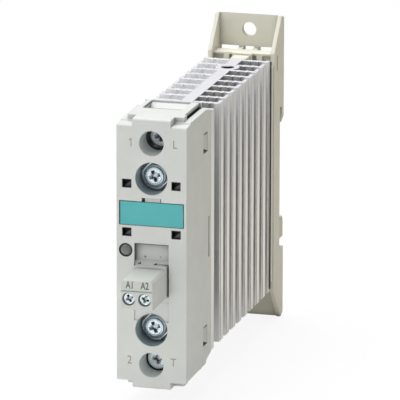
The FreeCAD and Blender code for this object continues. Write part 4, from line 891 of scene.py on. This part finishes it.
ink = fine_surface("laser_print_grey", ("#8F8F8C", "#999996"), 0.6, 0.4)
dark_ink = fine_surface("laser_print_dark", ("#5C5D5B", "#666765"), 0.6, 0.4)
for text, x, z in (("L", 7.55, 35.4), ("2", -7.05, -34.3), ("T", 7.05, -34.2)):
    print_mark("mark_" + text, text, x * MM, FACE_Y, CENTRE_Z + z * MM, LETTER_HEIGHT, "relay", ink)
one = [(-6.6, 34.15), (-6.32, 34.15), (-6.32, 36.75), (-6.55, 36.75), (-7.2, 36.1), (-7.1, 35.9),
       (-6.6, 36.3)]
dress(loft("mark_1", [facing(one, -0.02), facing(one, 0)]), ink, "relay", "part_black")
plug_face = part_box("control_plug")[0].y
for text, x in (("A1", -2.15), ("A2", 2.6)):
    print_mark("mark_" + text, text, x * MM, plug_face, CENTRE_Z - 5.55 * MM, 2.2 * MM,
               "control_connector", dark_ink, 0.7, 0, 0.05 * MM)
RECESS_FLOOR = FACE_Y + 2.0 * MM
for text, name, x, z in (("+", "plus", -2.5, -1.33), ("-", "minus", 2.4, -0.83)):
    print_mark("mark_" + name, text, x * MM, RECESS_FLOOR, CENTRE_Z + z * MM, 1.5 * MM, "relay",
               dark_ink)


# ------------------------------------------------------------------ rail foot
# Bracket of grey-beige glass-filled polyamide, screwed to the end of the heat sink's web, with
# a fixed hook, two wings for panel screws and a sprung sliding latch under the rail.

beige = moulded("polyamide_grey_beige", ("#DEDCCE", "#E4E2D4"), 0.48, 0.3)
bracket = round_edges(cad_copy("rail_bracket", "rail_foot"), EDGE_ROUNDING)
dress(bracket, beige, "relay", "bracket_grey", "rail_bracket")
latch = round_edges(cad_copy("rail_latch", "foot_latch"), 0.18 * MM)
dress(latch, moulded("polyamide_latch_beige", ("#CECBBA", "#D4D1C1"), 0.45, 0.3), "rail_latch",
      "latch_grey", "rail_latch")
finish_node("bracket_screws", zinc_dull)
SPRING_WIRE = 0.25 * MM
SPRING_TURNS = 7
spring_low, spring_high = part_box("latch_spring")
spring_radius = (spring_high.x - spring_low.x) / 2 - SPRING_WIRE


def spring_tree():
    """Geometry nodes for a coil spring: a spiral swept with round wire."""
    tree = bpy.data.node_groups.new("coil_spring", "GeometryNodeTree")
    for name, kind in (("Turns", "NodeSocketFloat"), ("Radius", "NodeSocketFloat"),
                       ("Height", "NodeSocketFloat"), ("Wire", "NodeSocketFloat"),
                       ("Start", "NodeSocketVector"), ("Finish", "NodeSocketMaterial")):
        tree.interface.new_socket(name, in_out="INPUT", socket_type=kind)
    tree.interface.new_socket("Geometry", in_out="OUTPUT", socket_type="NodeSocketGeometry")
    given = add(tree, "NodeGroupInput").outputs
    spiral = add(tree, "GeometryNodeCurveSpiral", {"Resolution": 24, "Rotations": given["Turns"],
                                                   "Start Radius": given["Radius"],
                                                   "End Radius": given["Radius"],
                                                   "Height": given["Height"]})
    placed = add(tree, "GeometryNodeTransform", {"Geometry": spiral.outputs["Curve"],
                                                 "Translation": given["Start"]})
    wire = add(tree, "GeometryNodeCurvePrimitiveCircle", {"Resolution": 10,
                                                          "Radius": given["Wire"]})
    swept = add(tree, "GeometryNodeCurveToMesh", {"Curve": placed.outputs["Geometry"],
                                                  "Profile Curve": wire.outputs["Curve"],
                                                  "Fill Caps": True})
    real = add(tree, "GeometryNodeRealizeInstances", {"Geometry": swept.outputs["Mesh"]})
    coloured = add(tree, "GeometryNodeSetMaterial", {"Geometry": real.outputs["Geometry"],
                                                     "Material": given["Finish"]})
    add(tree, "NodeGroupOutput", {"Geometry": coloured.outputs["Geometry"]})
    return tree


music_wire = plated_steel("steel_music_wire", ("#7D8084", "#96999C"), 0.3)
spring = bpy.data.objects.new("latch_coil", bpy.data.meshes.new("latch_coil"))
bpy.context.scene.collection.objects.link(spring)
coil = spring.modifiers.new("coil", "NODES")
coil.node_group = spring_tree()
spring_middle = (spring_low + spring_high) / 2
spring_values = {"Turns": float(SPRING_TURNS), "Radius": spring_radius, "Wire": SPRING_WIRE,
                 "Height": spring_high.z - spring_low.z - 2 * SPRING_WIRE, "Finish": music_wire,
                 "Start": (spring_middle.x, spring_middle.y, spring_low.z + SPRING_WIRE)}
for item in coil.node_group.interface.items_tree:
    if item.in_out == "INPUT":
        coil[item.identifier] = spring_values[item.name]
spring = freeze(spring)
dress(smooth_by_angle(spring, 60), music_wire, "relay", "spring_steel", "latch_spring")
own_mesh(spring)


# ------------------------------------------------------------------ studio
# The relay hangs just above a white floor that throws light back up, less of it behind and to
# the right. A strong soft light stands above, a weaker one at the upper left, and a faint warm
# one at the right; the sky is brightest at the upper left. To the eye, floor and sky are white.

stage_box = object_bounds()
FLOOR_GAP = 0.2 * MM
FLOOR_SIZE = 6.0
SHADOW_SHARE = 0.12
CARD_TOWARDS = (0.9, 1.0, 0.0)
CARD_FRONT = -0.10
CARD_BACK = 0.03


def paper_white():
    """White to the eye with a faint shadow; it throws back most light in front on the left."""
    material, tree = new_material("paper_white")
    point = add(tree, "ShaderNodeTexCoord").outputs["Object"]
    place = add(tree, "ShaderNodeVectorMath", {0: point, 1: CARD_TOWARDS},
                operation="DOT_PRODUCT").outputs["Value"]
    behind = add(tree, "ShaderNodeMapRange", {"Value": place, "From Min": CARD_FRONT,
                                              "From Max": CARD_BACK}).outputs["Result"]
    card = blend_colour(tree, behind, linear("#FAFAF8"), linear("#CDC9BF"))
    white = blend_colour(tree, noise(tree, 3.0), linear("#F2F2F2"), linear("#F6F6F6"))
    eye = add(tree, "ShaderNodeLightPath").outputs["Is Camera Ray"]
    paper = add(tree, "ShaderNodeBsdfDiffuse", {"Color": blend_colour(tree, eye, card, white)})
    glow = add(tree, "ShaderNodeEmission", {"Color": (1, 1, 1, 1), "Strength": 1.0})
    share = add(tree, "ShaderNodeMath", {0: eye, 1: 1 - SHADOW_SHARE},
                operation="MULTIPLY").outputs[0]
    both = add(tree, "ShaderNodeMixShader", {0: share, 1: paper.outputs[0], 2: glow.outputs[0]})
    add(tree, "ShaderNodeOutputMaterial", {"Surface": both.outputs[0]})
    return material


floor_mesh = bpy.data.meshes.new("floor")
reach = FLOOR_SIZE / 2
floor_z = stage_box[0][2] - FLOOR_GAP
floor_mesh.from_pydata([(-reach, -reach, floor_z), (reach, -reach, floor_z),
                        (reach, reach, floor_z), (-reach, reach, floor_z)], [], [(0, 1, 2, 3)])
floor_mesh.materials.append(paper_white())
floor = bpy.data.objects.new("floor", floor_mesh)
bpy.context.scene.collection.objects.link(floor)

SKY_TOWARDS = (-0.62, -0.35, 0.70)
SKY_DARK = 0.04
SKY_BRIGHT = 0.82
world = bpy.data.worlds.new("studio")
bpy.context.scene.world = world
world.use_nodes = True
sky = world.node_tree
sky.nodes.clear()
direction = add(sky, "ShaderNodeTexCoord").outputs["Generated"]
towards = add(sky, "ShaderNodeVectorMath", {0: direction, 1: SKY_TOWARDS},
              operation="DOT_PRODUCT").outputs["Value"]
level = add(sky, "ShaderNodeMapRange", {"Value": towards, "From Min": -1.0, "From Max": 1.0,
                                        "To Min": SKY_DARK, "To Max": SKY_BRIGHT}).outputs["Result"]
camera_ray = add(sky, "ShaderNodeLightPath").outputs["Is Camera Ray"]
strength = add(sky, "ShaderNodeMix", {0: camera_ray, 2: level, 3: 1.0}).outputs[0]
paint = add(sky, "ShaderNodeBackground", {"Color": (1, 1, 1, 1), "Strength": strength})
add(sky, "ShaderNodeOutputWorld", {"Surface": paint.outputs[0]})


def soft_light(name, place, target, size, power, colour=(1.0, 1.0, 1.0)):
    lamp = bpy.data.lights.new(name, "AREA")
    lamp.color = colour
    lamp.shape = "RECTANGLE"
    lamp.size, lamp.size_y = size
    lamp.energy = power
    light = bpy.data.objects.new(name, lamp)
    light.location = place
    light.rotation_euler = (Vector(target) - Vector(place)).to_track_quat("-Z", "Y").to_euler()
    bpy.context.scene.collection.objects.link(light)


middle = (0, -0.06, 0)
soft_light("key", (-0.45, -0.75, 0.75), middle, (0.5, 0.4), 0.96)
soft_light("top", (-0.1, 0.1, 0.9), middle, (0.6, 0.6), 6.3)
soft_light("fill", (0.95, -0.45, 0.25), middle, (0.5, 0.7), 0.1, (1.0, 0.88, 0.74))

# The camera stands well back with a long lens, a little above the relay and to its right.
CAMERA_PLACE = (0.44848, -1.68472, 0.43709)
CAMERA_YAW = 15.41
CAMERA_PITCH = 14.43
CAMERA_ROLL = 0.10
long_lens = bpy.data.cameras.new("camera")
long_lens.sensor_width = 36.0
long_lens.lens = 492.66
long_lens.clip_end = 20.0
camera = bpy.data.objects.new("camera", long_lens)
bpy.context.scene.collection.objects.link(camera)
camera.matrix_world = (Matrix.Translation(CAMERA_PLACE)
                       @ Matrix.Rotation(math.radians(CAMERA_YAW), 4, "Z")
                       @ Matrix.Rotation(math.radians(90 - CAMERA_PITCH), 4, "X")
                       @ Matrix.Rotation(math.radians(CAMERA_ROLL), 4, "Z"))
bpy.context.scene.camera = camera
bpy.context.scene.view_settings.view_transform = "Standard"
